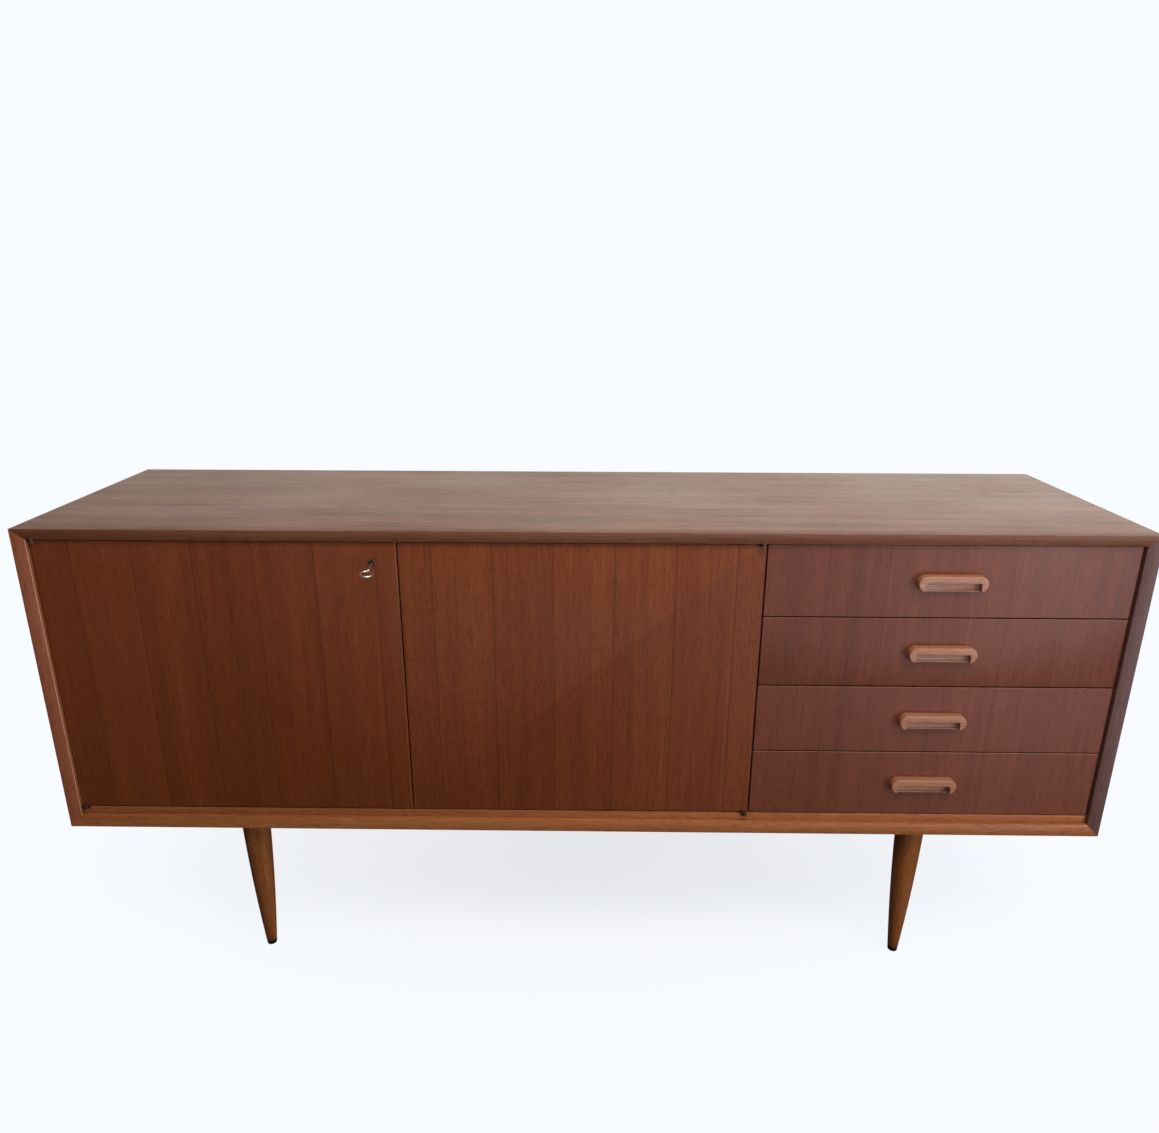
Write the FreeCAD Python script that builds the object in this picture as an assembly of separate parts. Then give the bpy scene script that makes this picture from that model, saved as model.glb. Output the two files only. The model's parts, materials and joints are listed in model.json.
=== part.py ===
import FreeCAD, Part
import math
import os
from FreeCAD import Vector

# A low teak sideboard on four turned legs: two hinged doors on the left, the first with a lock and
# its key, and a stack of drawers on the right.  Every piece is a closed solid of its own, in mm.
#
# The working frame is x to the right of the case's middle, y backwards from its front arris and z up from
# the floor.  Each piece is shifted along y as it is saved, so that the origin ends in the middle of the
# whole object's footprint, on the floor.

# ---------------------------------------------------------------- driving sizes
# the case
CASE_W = 1800.0
CASE_D = 450.0
CASE_H = 545.0
LEG_H = 285.0              # floor to the underside of the case
PANEL_T = 19.0             # top, bottom and sides
LIPPING_D = 28.0           # solid wood along the front edges, mitred at the corners
BEVEL_D = 7.0              # how far the front edges slope back, outer arris to inner arris
BACK_T = 6.0
REBATE_W = 8.0             # overlap of the back panel on each case panel
BACK_FIT = 0.5
RAIL_H = 14.5              # rail under the doors and drawers
RAIL_SETBACK = 1.0         # its face behind the face of the doors
DIVIDER_T = 18.0
DIVIDER_GAP = 2.0          # air between the back of the doors and the dividers
HOUSING_D = 6.0            # depth of the dividers' housings in top and bottom

# doors and drawer fronts
FRONT_SETBACK = 12.0       # face of doors and drawers behind the front arris
FRONT_T = 20.0
GAP = 2.4                  # air around every door and drawer front
DOOR_W = 583.0
EDGE_LIPPING_T = 3.5       # solid strips on the doors' upright edges

# shelves
SHELF_T = 16.0
SHELF_SETBACK = 40.0       # behind the front of the dividers
SHELF_FIT = 1.0
PIN_R = 2.5
PIN_HOLE_FIT = 0.05
PIN_IN = 8.0
PIN_OUT = 10.0
PIN_INSET_FRONT = 90.0
PIN_INSET_BACK = 60.0
PIN_FIRST = 170.0          # lowest hole above the case floor
PIN_PITCH = 32.0
PIN_ROWS = 5
SHELF_ROW = 2              # the row that carries the shelf, counted from 0

# drawers
DRAWER_COUNT = 4
SIDE_T = 12.0
SIDE_CLEAR = 3.0           # air beside the drawer box
SIDE_ABOVE = 10.0          # side's lower edge above the front's lower edge
SIDE_BELOW = 19.0          # side's upper edge below the front's upper edge
BOX_END_GAP = 22.0         # air behind the drawer box
BOX_BACK_T = 10.0
BOX_BACK_INSET = 8.0       # back board in from the ends of the sides
BOX_BACK_DROP = 6.0        # back board lower than the sides
DADO_WALL = 1.4            # wood left between the back board's dado and the runner's groove
TONGUE_D = 8.0             # sliding dovetail of each side into the front
TONGUE_ROOT = 6.4
TONGUE_TIP = 8.8
BOTTOM_T = 4.0
BOTTOM_UP = 8.0            # bottom above the sides' lower edge
BOTTOM_GROOVE_D = 5.0
BOTTOM_FIT = 0.3
RUNNER_H = 16.0
RUNNER_IN = 6.0            # runner's reach into the side's groove
RUNNER_PLAY = 0.4          # over and under the runner
RUNNER_SIDE_PLAY = 0.6
RUNNER_START = 12.0        # behind the back of the drawer front
RUNNER_END_GAP = 12.0      # before the back panel

# drawer pulls
PULL_W = 110.0
PULL_H = 26.5
PULL_OUT = 14.0
PULL_BASE = 4.0
PULL_LIP = 11.0            # height of the bar over the finger recess
PULL_RECESS_W = 89.0
PULL_RECESS_R = 4.0
PULL_EDGE_R = 3.0
PULL_SCREW_R = 1.75
PULL_SCREW_IN = 8.0
PULL_SCREW_HEAD_R = 3.6
PULL_SCREW_HEAD_H = 2.2

# legs
LEG_INSET_X = 309.0
LEG_INSET_FRONT = 45.0
LEG_INSET_BACK = 38.0
LEG_TOP_R = 24.5
LEG_MID_R = 19.0
LEG_FOOT_R = 9.3
GLIDE_H = 8.0
GLIDE_R = 8.6
PLATE_W = 64.0
PLATE_T = 2.5
PLATE_HOLE_INSET = 8.0
BOLT_R = 4.0
BOLT_DOWN = 45.0
BOLT_UP = 12.0
BOLT_FIT = 0.1
BOLT_ROOM = 1.0            # around the bolt's end inside the bottom panel

# screws
SCREW_R = 1.75
SCREW_HEAD_R = 3.5
SCREW_HEAD_H = 2.0
SCREW_FIT = 0.1
BACK_SCREW_L = 22.0
BACK_SCREWS_WIDE = 7       # along the top and along the bottom
BACK_SCREWS_HIGH = 3       # up each end, between the rows
PLATE_SCREW_L = 14.0

# pivot hinges
PIVOT_IN = 6.0             # pivot in from the door's edge
PIVOT_OUT = 3.0            # pivot in front of the door's face
LEAF_T = 2.5
LEAF_W = 12.0
LEAF_L = 50.0
LEAF_IN = 4.0              # bar of the leaf behind the door's face
EYE_R = 5.0
PIVOT_R = 2.0
PIVOT_CLEAR = 0.05
COLLAR_R = 3.5
COLLAR_AIR = 0.3

# lock and key
KEY_BACKSET = 40.0         # keyhole from the door's free edge
KEY_DROP = 34.0            # keyhole below the door's top
LOCK_D = 11.0
LOCK_LEFT = 14.0           # lock case beyond the keyhole
LOCK_UP = 13.0
LOCK_DOWN = 15.0
LOCK_WALL = 1.2
BARREL_R = 5.0
BARREL_CLEAR = 0.05
BARREL_BEHIND_FACE = 3.3
CAM_R = 7.4
CAM_T = 1.5
CAM_PIN_R = 1.2
THROW = 6.0                # travel of the bolt, and the cam pin's distance from the centre
BOLT_T = 3.0
BOLT_HEAD_H = 8.0
BOLT_HEAD_UP = 2.0         # upper edge of the head over the keyhole's middle
BOLT_PLATE_HALF = 9.0
BOLT_PLATE_RIM = 4.5       # plate above and below the cam pin's path
ESCUTCHEON_WALL = 0.7
ESCUTCHEON_AIR = 0.2       # around the barrel
ESCUTCHEON_D = 2.8
ESCUTCHEON_FLANGE = 0.7
ESCUTCHEON_PROUD = 0.6
LOOSE = 0.3                # air between pieces that move past each other
STRIKE_T = 1.5
STRIKE_MARGIN_Y = 3.0
STRIKE_MARGIN_Z = 6.0
STRIKE_AIR = 0.6           # around the bolt in its mouth
STRIKE_POCKET = 5.0
KEY_R = 2.2
KEY_BEFORE_CAM = 2.5       # the point that the key tips about, in front of the cam disc
KEY_INSIDE = 3.0           # its end, beyond that
KEY_REACH = 38.0           # middle of the bow in front of the door's face
KEY_DROOP = 8.0            # degrees; a loose key hangs down a little
KEY_BIT_R = 3.9
KEY_BIT_T = 1.8
KEY_BIT_L = 4.0
KEY_COLLAR_R = 3.1
KEY_COLLAR_L = 2.4
KEY_COLLAR_GAP = 3.0       # between the collar and the bow
BOW_R = 9.6
BOW_WIRE_R = 1.4
BOW_TWIST = 6.0            # degrees

# magnetic catch of the right-hand door
CATCH_W = 30.0
CATCH_D = 14.0
CATCH_H = 12.0
CATCH_IN = 24.0            # from the door's free edge
CATCH_PLATE_T = 1.0
CATCH_PLATE_H = 14.0
CATCH_PLATE_DROP = 1.0     # below the door's upper end

# ---------------------------------------------------------------- places worked out from the sizes
X_OUT = CASE_W / 2
X_IN = X_OUT - PANEL_T
Z_BASE = LEG_H
Z_FLOOR = Z_BASE + PANEL_T
Z_RAIL = Z_FLOOR + RAIL_H
Z_TOP = Z_BASE + CASE_H
Z_CEILING = Z_TOP - PANEL_T
Y_FACE = FRONT_SETBACK
Y_FRONT_BACK = Y_FACE + FRONT_T
Y_DIVIDER = Y_FRONT_BACK + DIVIDER_GAP
Y_BACK_PANEL = CASE_D - BACK_T

DOOR_Z = (Z_RAIL + GAP, Z_CEILING - GAP)
DOOR_LEFT_X = (-X_IN + GAP, -X_IN + GAP + DOOR_W)
DOOR_RIGHT_X = (DOOR_LEFT_X[1] + GAP, DOOR_LEFT_X[1] + GAP + DOOR_W)
DRAWER_X = (DOOR_RIGHT_X[1] + GAP, X_IN - GAP)
DIVIDER_XS = (DOOR_LEFT_X[1] + GAP / 2, DOOR_RIGHT_X[1] + GAP / 2)
DRAWER_H = (DOOR_Z[1] - DOOR_Z[0] - (DRAWER_COUNT - 1) * GAP) / DRAWER_COUNT

PIVOT_Y = Y_FACE - PIVOT_OUT
PIVOT_LEFT_X = DOOR_LEFT_X[0] + PIVOT_IN
PIVOT_RIGHT_X = DOOR_RIGHT_X[1] - PIVOT_IN

BOX_X = (DIVIDER_XS[1] + DIVIDER_T / 2 + SIDE_CLEAR, X_IN - SIDE_CLEAR)
BOX_DADO_D = SIDE_T - RUNNER_IN - RUNNER_SIDE_PLAY - DADO_WALL
BOX_Y1 = Y_BACK_PANEL - BOX_END_GAP
RUNNER_Y = (Y_FRONT_BACK + RUNNER_START, Y_BACK_PANEL - RUNNER_END_GAP)

KEY_X = DOOR_LEFT_X[1] - KEY_BACKSET
KEY_Z = DOOR_Z[1] - KEY_DROP
LOCK_Y = (Y_FRONT_BACK - LOCK_D, Y_FRONT_BACK)
CAM_Y = LOCK_Y[0] + LOCK_WALL + LOOSE
BOLT_Y = CAM_Y + CAM_T + LOOSE
ESCUTCHEON_R = BARREL_R + ESCUTCHEON_AIR + ESCUTCHEON_WALL
BOLT_HEAD_Z = (KEY_Z + BOLT_HEAD_UP - BOLT_HEAD_H, KEY_Z + BOLT_HEAD_UP)
KEY_PIVOT_POINT = Vector(KEY_X, CAM_Y - KEY_BEFORE_CAM, KEY_Z)
KEY_DEPTH = KEY_PIVOT_POINT.y - Y_FACE

# The key's bow is the only thing in front of the case, and the case's back is the rearmost face.
KEY_TIP = (KEY_REACH + KEY_DEPTH + BOW_R) * math.cos(math.radians(KEY_DROOP)) + BOW_WIRE_R
Y_KEY_TIP = KEY_PIVOT_POINT.y - KEY_TIP
Y_SHIFT = -(min(Y_KEY_TIP, 0.0) + CASE_D) / 2

X_AXIS = Vector(1, 0, 0)
Y_AXIS = Vector(0, 1, 0)
Z_AXIS = Vector(0, 0, 1)
LAP = 1.0                  # how far shapes that are fused or cut run into each other
NEAR = 0.01                # two places this close are the same


# ---------------------------------------------------------------- shapes
def block(x, y, z):
    """A box from three (low, high) pairs."""
    return Part.makeBox(x[1] - x[0], y[1] - y[0], z[1] - z[0], Vector(x[0], y[0], z[0]))


def rod(radius, start, axis, length):
    return Part.makeCylinder(radius, length, start, axis)


def prism(corners, along):
    """A straight solid over a flat outline of corner points."""
    outline = Part.makePolygon(list(corners) + [corners[0]])
    return Part.Face(outline).extrude(along)


def joined(shapes):
    """One solid out of several that touch or overlap."""
    whole = shapes[0].fuse(shapes[1:])
    return whole.removeSplitter()


def countersunk_screw(head_centre, axis, length, fit=0.0):
    """A screw whose flat head ends at head_centre, or with a fit, the hole that it goes in."""
    head = Part.makeCone(SCREW_HEAD_R + fit, SCREW_R + fit, SCREW_HEAD_H, head_centre, axis)
    shank = rod(SCREW_R + fit, head_centre, axis, length + fit)
    return joined([head, shank])


def mirrored_x(shape, x):
    """The shape seen in a mirror that stands at x."""
    return shape.mirror(Vector(x, 0, 0), X_AXIS)


# ---------------------------------------------------------------- the case
def case_profile(side):
    """Outline of one case panel, seen from the front, with its mitred ends."""
    corners = {
        "top": [(-X_OUT, Z_TOP), (X_OUT, Z_TOP), (X_IN, Z_CEILING), (-X_IN, Z_CEILING)],
        "bottom": [(-X_OUT, Z_BASE), (X_OUT, Z_BASE), (X_IN, Z_FLOOR), (-X_IN, Z_FLOOR)],
        "left": [(-X_OUT, Z_BASE), (-X_OUT, Z_TOP), (-X_IN, Z_CEILING), (-X_IN, Z_FLOOR)],
        "right": [(X_OUT, Z_BASE), (X_OUT, Z_TOP), (X_IN, Z_CEILING), (X_IN, Z_FLOOR)],
    }
    return corners[side]


def case_board(side, y0, y1):
    corners = [Vector(x, y0, z) for x, z in case_profile(side)]
    return prism(corners, Vector(0, y1 - y0, 0))


def back_recess():
    """The space that the back panel is let into."""
    reach = REBATE_W
    x = (-X_IN - reach, X_IN + reach)
    z = (Z_FLOOR - reach, Z_CEILING + reach)
    return block(x, (Y_BACK_PANEL, CASE_D), z)


def back_panel():
    reach = REBATE_W - BACK_FIT
    x = (-X_IN - reach, X_IN + reach)
    z = (Z_FLOOR - reach, Z_CEILING + reach)
    return block(x, (Y_BACK_PANEL, CASE_D), z)


def back_screw_places():
    """Head centres of the screws around the back panel."""
    edge_x = X_IN + REBATE_W / 2
    edge_z = (Z_FLOOR - REBATE_W / 2, Z_CEILING + REBATE_W / 2)
    places = []
    for i in range(BACK_SCREWS_WIDE):
        x = edge_x * (2 * (i + 0.5) / BACK_SCREWS_WIDE - 1)
        places += [(x, edge_z[0]), (x, edge_z[1])]
    for i in range(BACK_SCREWS_HIGH):
        z = edge_z[0] + (edge_z[1] - edge_z[0]) * (i + 0.5) / BACK_SCREWS_HIGH
        places += [(-edge_x, z), (edge_x, z)]
    return [Vector(x, CASE_D, z) for x, z in places]


def back_screws(fit=0.0):
    return [countersunk_screw(p, -Y_AXIS, BACK_SCREW_L, fit) for p in back_screw_places()]


def lipping(side):
    """Solid edge along one side of the front: mitred, and bevelled back towards the inside."""
    board = case_board(side, 0.0, LIPPING_D)
    if side in ("top", "bottom"):
        outer, inner = (Z_TOP, Z_CEILING) if side == "top" else (Z_BASE, Z_FLOOR)
        wedge = [Vector(-X_OUT, 0, outer), Vector(-X_OUT, BEVEL_D, inner), Vector(-X_OUT, 0, inner)]
        return board.cut(prism(wedge, Vector(CASE_W, 0, 0)))
    sign = -1 if side == "left" else 1
    outer, inner = sign * X_OUT, sign * X_IN
    wedge = [Vector(outer, 0, Z_BASE), Vector(inner, BEVEL_D, Z_BASE), Vector(inner, 0, Z_BASE)]
    return board.cut(prism(wedge, Vector(0, 0, CASE_H)))


def bottom_rail():
    return block((-X_IN, X_IN), (Y_FACE + RAIL_SETBACK, Y_DIVIDER), (Z_FLOOR, Z_RAIL))


def divider(x):
    half = DIVIDER_T / 2
    z = (Z_FLOOR - HOUSING_D, Z_CEILING + HOUSING_D)
    return block((x - half, x + half), (Y_DIVIDER, Y_BACK_PANEL), z)


# ---------------------------------------------------------------- shelves
def compartments():
    """(low x, high x) of the spaces behind the two doors."""
    half = DIVIDER_T / 2
    left = (-X_IN, DIVIDER_XS[0] - half)
    right = (DIVIDER_XS[0] + half, DIVIDER_XS[1] - half)
    return [left, right]


def pin_spots():
    """(y, z) of the shelf pin holes in one wall."""
    columns = (Y_DIVIDER + PIN_INSET_FRONT, Y_BACK_PANEL - PIN_INSET_BACK)
    rows = [Z_FLOOR + PIN_FIRST + PIN_PITCH * i for i in range(PIN_ROWS)]
    return [(y, z) for y in columns for z in rows]


def pin_holes():
    holes = []
    depth = PIN_IN + PIN_HOLE_FIT
    for low, high in compartments():
        for y, z in pin_spots():
            holes.append(rod(PIN_R + PIN_HOLE_FIT, Vector(low, y, z), -X_AXIS, depth))
            holes.append(rod(PIN_R + PIN_HOLE_FIT, Vector(high, y, z), X_AXIS, depth))
    return holes


def shelf_pins():
    pins = []
    length = PIN_IN + PIN_OUT
    shelf_z = Z_FLOOR + PIN_FIRST + PIN_PITCH * SHELF_ROW
    for low, high in compartments():
        for y, z in pin_spots():
            if z == shelf_z:
                pins.append(rod(PIN_R, Vector(low - PIN_IN, y, z), X_AXIS, length))
                pins.append(rod(PIN_R, Vector(high + PIN_IN, y, z), -X_AXIS, length))
    return pins


def shelf(space):
    z = Z_FLOOR + PIN_FIRST + PIN_PITCH * SHELF_ROW + PIN_R
    x = (space[0] + SHELF_FIT, space[1] - SHELF_FIT)
    return block(x, (Y_DIVIDER + SHELF_SETBACK, Y_BACK_PANEL - SHELF_FIT), (z, z + SHELF_T))


# ---------------------------------------------------------------- legs
def leg_places():
    x = X_OUT - LEG_INSET_X
    return {
        "leg_front_left": (-x, LEG_INSET_FRONT),
        "leg_front_right": (x, LEG_INSET_FRONT),
        "leg_back_left": (-x, CASE_D - LEG_INSET_BACK),
        "leg_back_right": (x, CASE_D - LEG_INSET_BACK),
    }


def leg(x, y):
    """Turned leg with a gently swelling taper, bored at the top for its bolt."""
    top = Z_BASE - PLATE_T
    middle = (top + GLIDE_H) / 2
    points = [Vector(LEG_TOP_R, 0, top), Vector(LEG_MID_R, 0, middle), Vector(LEG_FOOT_R, 0, GLIDE_H)]
    side = Part.Arc(*points)
    foot = Part.makeLine(Vector(LEG_FOOT_R, 0, GLIDE_H), Vector(0, 0, GLIDE_H))
    axis = Part.makeLine(Vector(0, 0, GLIDE_H), Vector(0, 0, top))
    head = Part.makeLine(Vector(0, 0, top), Vector(LEG_TOP_R, 0, top))
    outline = Part.Wire([side.toShape(), foot, axis, head])
    turned = Part.Face(outline).revolve(Vector(0, 0, 0), Z_AXIS, 360)
    turned.translate(Vector(x, y, 0))
    bore = rod(BOLT_R + BOLT_FIT, Vector(x, y, top - BOLT_DOWN - BOLT_FIT), Z_AXIS, BOLT_DOWN + BOLT_FIT)
    return turned.cut(bore)


def foot_glide(x, y):
    return Part.makeCone(GLIDE_R, LEG_FOOT_R, GLIDE_H, Vector(x, y, 0), Z_AXIS)


def leg_bolt(x, y, fit=0.0):
    start = Vector(x, y, Z_BASE - PLATE_T - BOLT_DOWN - fit)
    return rod(BOLT_R + fit, start, Z_AXIS, BOLT_DOWN + PLATE_T + BOLT_UP + 2 * fit)


def plate_screws(x, y, fit=0.0):
    reach = PLATE_W / 2 - PLATE_HOLE_INSET
    z = Z_BASE - PLATE_T
    places = [Vector(x + i * reach, y + j * reach, z) for i in (-1, 1) for j in (-1, 1)]
    return [countersunk_screw(p, Z_AXIS, PLATE_SCREW_L, fit) for p in places]


def leg_plate(x, y):
    half = PLATE_W / 2
    plate = block((x - half, x + half), (y - half, y + half), (Z_BASE - PLATE_T, Z_BASE))
    return plate.cut([leg_bolt(x, y, BOLT_FIT)] + plate_screws(x, y, SCREW_FIT))


# ---------------------------------------------------------------- hinges
def leaf(x, z):
    """One hinge leaf on its lower face z: a bar along the door, an arm to the front and a round eye."""
    y0 = Y_FACE + LEAF_IN
    bar = block((x - EYE_R, x - EYE_R + LEAF_L), (y0, y0 + LEAF_W), (z, z + LEAF_T))
    arm = block((x - EYE_R, x + EYE_R), (PIVOT_Y, y0 + LEAF_W), (z, z + LEAF_T))
    eye = rod(EYE_R, Vector(x, PIVOT_Y, z), Z_AXIS, LEAF_T)
    return joined([bar, arm, eye])


def case_leaf_below(x):
    """Leaf let into the rail, with the pivot and the collar that the door stands on."""
    base = leaf(x, Z_RAIL - LEAF_T)
    pivot = rod(PIVOT_R, Vector(x, PIVOT_Y, Z_RAIL - LEAF_T), Z_AXIS, 2 * LEAF_T + GAP)
    collar = rod(COLLAR_R, Vector(x, PIVOT_Y, Z_RAIL - LEAF_T), Z_AXIS, LEAF_T + GAP - COLLAR_AIR)
    return joined([base, pivot, collar])


def case_leaf_above(x):
    """Leaf let into the underside of the top, with its pivot pointing down."""
    base = leaf(x, Z_CEILING)
    length = 2 * LEAF_T + GAP
    pivot = rod(PIVOT_R, Vector(x, PIVOT_Y, Z_CEILING + LEAF_T - length), Z_AXIS, length)
    collar_z = Z_CEILING - GAP + COLLAR_AIR
    collar = rod(COLLAR_R, Vector(x, PIVOT_Y, collar_z), Z_AXIS, Z_CEILING + LEAF_T - collar_z)
    return joined([base, pivot, collar])


def door_leaves(x):
    """The two leaves let into a door's lower and upper ends, each with its bored eye."""
    leaves = []
    for z in (DOOR_Z[0], DOOR_Z[1] - LEAF_T):
        bore = rod(PIVOT_R + PIVOT_CLEAR, Vector(x, PIVOT_Y, z), Z_AXIS, LEAF_T)
        leaves.append(leaf(x, z).cut(bore))
    return leaves


# ---------------------------------------------------------------- lock and key
def lock_case_shape():
    """Outer form of the lock, from beyond the keyhole to the door's free edge."""
    return block((KEY_X - LOCK_LEFT, DOOR_LEFT_X[1]), LOCK_Y, (KEY_Z - LOCK_DOWN, KEY_Z + LOCK_UP))


def lock_case():
    x = (KEY_X - LOCK_LEFT + LOCK_WALL, DOOR_LEFT_X[1] - LOCK_WALL)
    z = (KEY_Z - LOCK_DOWN + LOCK_WALL, KEY_Z + LOCK_UP - LOCK_WALL)
    hollow = block(x, (LOCK_Y[0] + LOCK_WALL, LOCK_Y[1] - LOCK_WALL), z)
    barrel_hole = rod(BARREL_R + BARREL_CLEAR, Vector(KEY_X, LOCK_Y[0], KEY_Z), Y_AXIS, LOCK_WALL)
    bolt_hole = block(
        (DOOR_LEFT_X[1] - LOCK_WALL, DOOR_LEFT_X[1]),
        (BOLT_Y - LOOSE, BOLT_Y + BOLT_T + LOOSE),
        (BOLT_HEAD_Z[0] - LOOSE, BOLT_HEAD_Z[1] + LOOSE),
    )
    return lock_case_shape().cut([hollow, barrel_hole, bolt_hole])


def escutcheon():
    """Thin turned eyelet that lines the keyhole in the door's face."""
    flange = rod(
        ESCUTCHEON_R + ESCUTCHEON_FLANGE,
        Vector(KEY_X, Y_FACE - ESCUTCHEON_PROUD, KEY_Z),
        Y_AXIS,
        ESCUTCHEON_PROUD,
    )
    tube = rod(ESCUTCHEON_R, Vector(KEY_X, Y_FACE, KEY_Z), Y_AXIS, ESCUTCHEON_D)
    hole_start = Vector(KEY_X, Y_FACE - LAP, KEY_Z)
    hole = rod(ESCUTCHEON_R - ESCUTCHEON_WALL, hole_start, Y_AXIS, ESCUTCHEON_D + 2 * LAP)
    return joined([flange, tube]).cut(hole)


def drooped(shape):
    """Tips a shape made along y about the key's resting point, front end down."""
    tipped = shape.copy()
    tipped.rotate(KEY_PIVOT_POINT, X_AXIS, KEY_DROOP)
    return tipped


def key():
    """A small cabinet key: round shank, bit, collar and an open ring for a bow."""
    here = KEY_PIVOT_POINT
    bow_centre = here - Y_AXIS * (KEY_DEPTH + KEY_REACH)
    inner_end = here + Y_AXIS * KEY_INSIDE
    shank_length = KEY_INSIDE + KEY_DEPTH + KEY_REACH - BOW_R
    shank = rod(KEY_R, inner_end, -Y_AXIS, shank_length)
    bit = block(
        (here.x - KEY_BIT_R, here.x),
        (inner_end.y - KEY_BIT_L, inner_end.y),
        (here.z - KEY_BIT_T / 2, here.z + KEY_BIT_T / 2),
    )
    collar_end = bow_centre + Y_AXIS * (BOW_R + KEY_COLLAR_GAP)
    collar = rod(KEY_COLLAR_R, collar_end, Y_AXIS, KEY_COLLAR_L)
    bow = Part.makeTorus(BOW_R, BOW_WIRE_R, bow_centre, Z_AXIS)
    bow.rotate(bow_centre, Y_AXIS, -BOW_TWIST)
    return drooped(joined([shank, bit, collar, bow]))


def lock_barrel():
    """Turning plug with the key's hole, and behind it the cam disc whose pin drives the bolt."""
    front = Vector(KEY_X, Y_FACE + BARREL_BEHIND_FACE, KEY_Z)
    plug = rod(BARREL_R, front, Y_AXIS, CAM_Y - front.y)
    disc = rod(CAM_R, Vector(KEY_X, CAM_Y, KEY_Z), Y_AXIS, CAM_T)
    pin_start = Vector(KEY_X, CAM_Y, KEY_Z - THROW)
    pin = rod(CAM_PIN_R, pin_start, Y_AXIS, CAM_T + LOOSE + BOLT_T)
    hole_end = KEY_PIVOT_POINT + Y_AXIS * (KEY_INSIDE + LOOSE)
    length = KEY_INSIDE + LOOSE + KEY_DEPTH
    round_hole = rod(KEY_R + LOOSE, hole_end, -Y_AXIS, length)
    slot_half = KEY_BIT_T / 2 + LOOSE
    slot = block(
        (KEY_X - KEY_BIT_R - LOOSE, KEY_X),
        (hole_end.y - length, hole_end.y),
        (KEY_Z - slot_half, KEY_Z + slot_half),
    )
    key_hole = drooped(joined([round_hole, slot]))
    return joined([plug, disc, pin]).cut(key_hole)


def lock_bolt():
    """Sliding bolt: a plate slotted for the cam pin, and a head that leaves the door's edge."""
    y = (BOLT_Y, BOLT_Y + BOLT_T)
    half = BOLT_PLATE_HALF
    rim = BOLT_PLATE_RIM
    plate = block((KEY_X - half, KEY_X + half), y, (KEY_Z - THROW - rim, KEY_Z + rim))
    head = block((KEY_X + half, DOOR_LEFT_X[1] - LOOSE), y, BOLT_HEAD_Z)
    # The pin's sideways travel is a sine and the bolt's is even, so the slot is wider than the pin
    # by the most that they differ.
    turn = math.acos(2 / math.pi)
    lead = THROW * (math.sin(turn) - turn * 2 / math.pi)
    reach = CAM_PIN_R + LOOSE
    slot = block((KEY_X - reach, KEY_X + reach + lead), y, (KEY_Z - THROW - reach, KEY_Z + reach))
    return joined([plate, head]).cut(slot)


def strike_plate():
    """Brass plate in the right-hand door's edge, around the mouth that the bolt enters."""
    x = (DOOR_RIGHT_X[0], DOOR_RIGHT_X[0] + STRIKE_T)
    y = (BOLT_Y - STRIKE_MARGIN_Y, BOLT_Y + BOLT_T + STRIKE_MARGIN_Y)
    return block(x, y, (BOLT_HEAD_Z[0] - STRIKE_MARGIN_Z, BOLT_HEAD_Z[1] + STRIKE_MARGIN_Z))


def strike_mouth():
    x = (DOOR_RIGHT_X[0], DOOR_RIGHT_X[0] + STRIKE_T + STRIKE_POCKET)
    y = (BOLT_Y - STRIKE_AIR, BOLT_Y + BOLT_T + STRIKE_AIR)
    return block(x, y, (BOLT_HEAD_Z[0] - STRIKE_AIR, BOLT_HEAD_Z[1] + STRIKE_AIR))


# ---------------------------------------------------------------- doors
def door_board(x):
    core = (x[0] + EDGE_LIPPING_T, x[1] - EDGE_LIPPING_T)
    return block(core, (Y_FACE, Y_FRONT_BACK), DOOR_Z)


def door_lippings(x):
    strips = [(x[0], x[0] + EDGE_LIPPING_T), (x[1] - EDGE_LIPPING_T, x[1])]
    return [block(strip, (Y_FACE, Y_FRONT_BACK), DOOR_Z) for strip in strips]


def catch_x():
    low = DOOR_RIGHT_X[0] + CATCH_IN
    return (low, low + CATCH_W)


def magnetic_catch():
    y0 = Y_FRONT_BACK + LOOSE
    return block(catch_x(), (y0, y0 + CATCH_D), (Z_CEILING - CATCH_H, Z_CEILING))


def catch_plate():
    z1 = DOOR_Z[1] - CATCH_PLATE_DROP
    return block(catch_x(), (Y_FRONT_BACK - CATCH_PLATE_T, Y_FRONT_BACK), (z1 - CATCH_PLATE_H, z1))


# ---------------------------------------------------------------- drawers
def drawer_z(number):
    """(low, high) of a drawer front; drawer 1 is the highest."""
    low = DOOR_Z[0] + (DRAWER_COUNT - number) * (DRAWER_H + GAP)
    return (low, low + DRAWER_H)


def side_z(number):
    low, high = drawer_z(number)
    return (low + SIDE_ABOVE, high - SIDE_BELOW)


def runner_z(number):
    low, high = side_z(number)
    middle = (low + high) / 2
    return (middle - RUNNER_H / 2, middle + RUNNER_H / 2)


def runners(number):
    """The hardwood strips on the divider and on the case side that carry one drawer."""
    reach = SIDE_CLEAR + RUNNER_IN
    left = DIVIDER_XS[1] + DIVIDER_T / 2
    z = runner_z(number)
    return [block((left, left + reach), RUNNER_Y, z), block((X_IN - reach, X_IN), RUNNER_Y, z)]


def tongue(x, z, y_back):
    """Dovetail-shaped tongue along the front end of a drawer side, centred on x."""
    root, tip = TONGUE_ROOT / 2, TONGUE_TIP / 2
    y0, y1 = Y_FRONT_BACK - TONGUE_D, y_back
    corners = [Vector(x - tip, y0, z[0]), Vector(x + tip, y0, z[0])]
    corners += [Vector(x + root, Y_FRONT_BACK, z[0]), Vector(x + root, y1, z[0])]
    corners += [Vector(x - root, y1, z[0]), Vector(x - root, Y_FRONT_BACK, z[0])]
    return prism(corners, Vector(0, 0, z[1] - z[0]))


def bottom_z(number):
    low = side_z(number)[0] + BOTTOM_UP
    return (low, low + BOTTOM_T)


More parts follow.
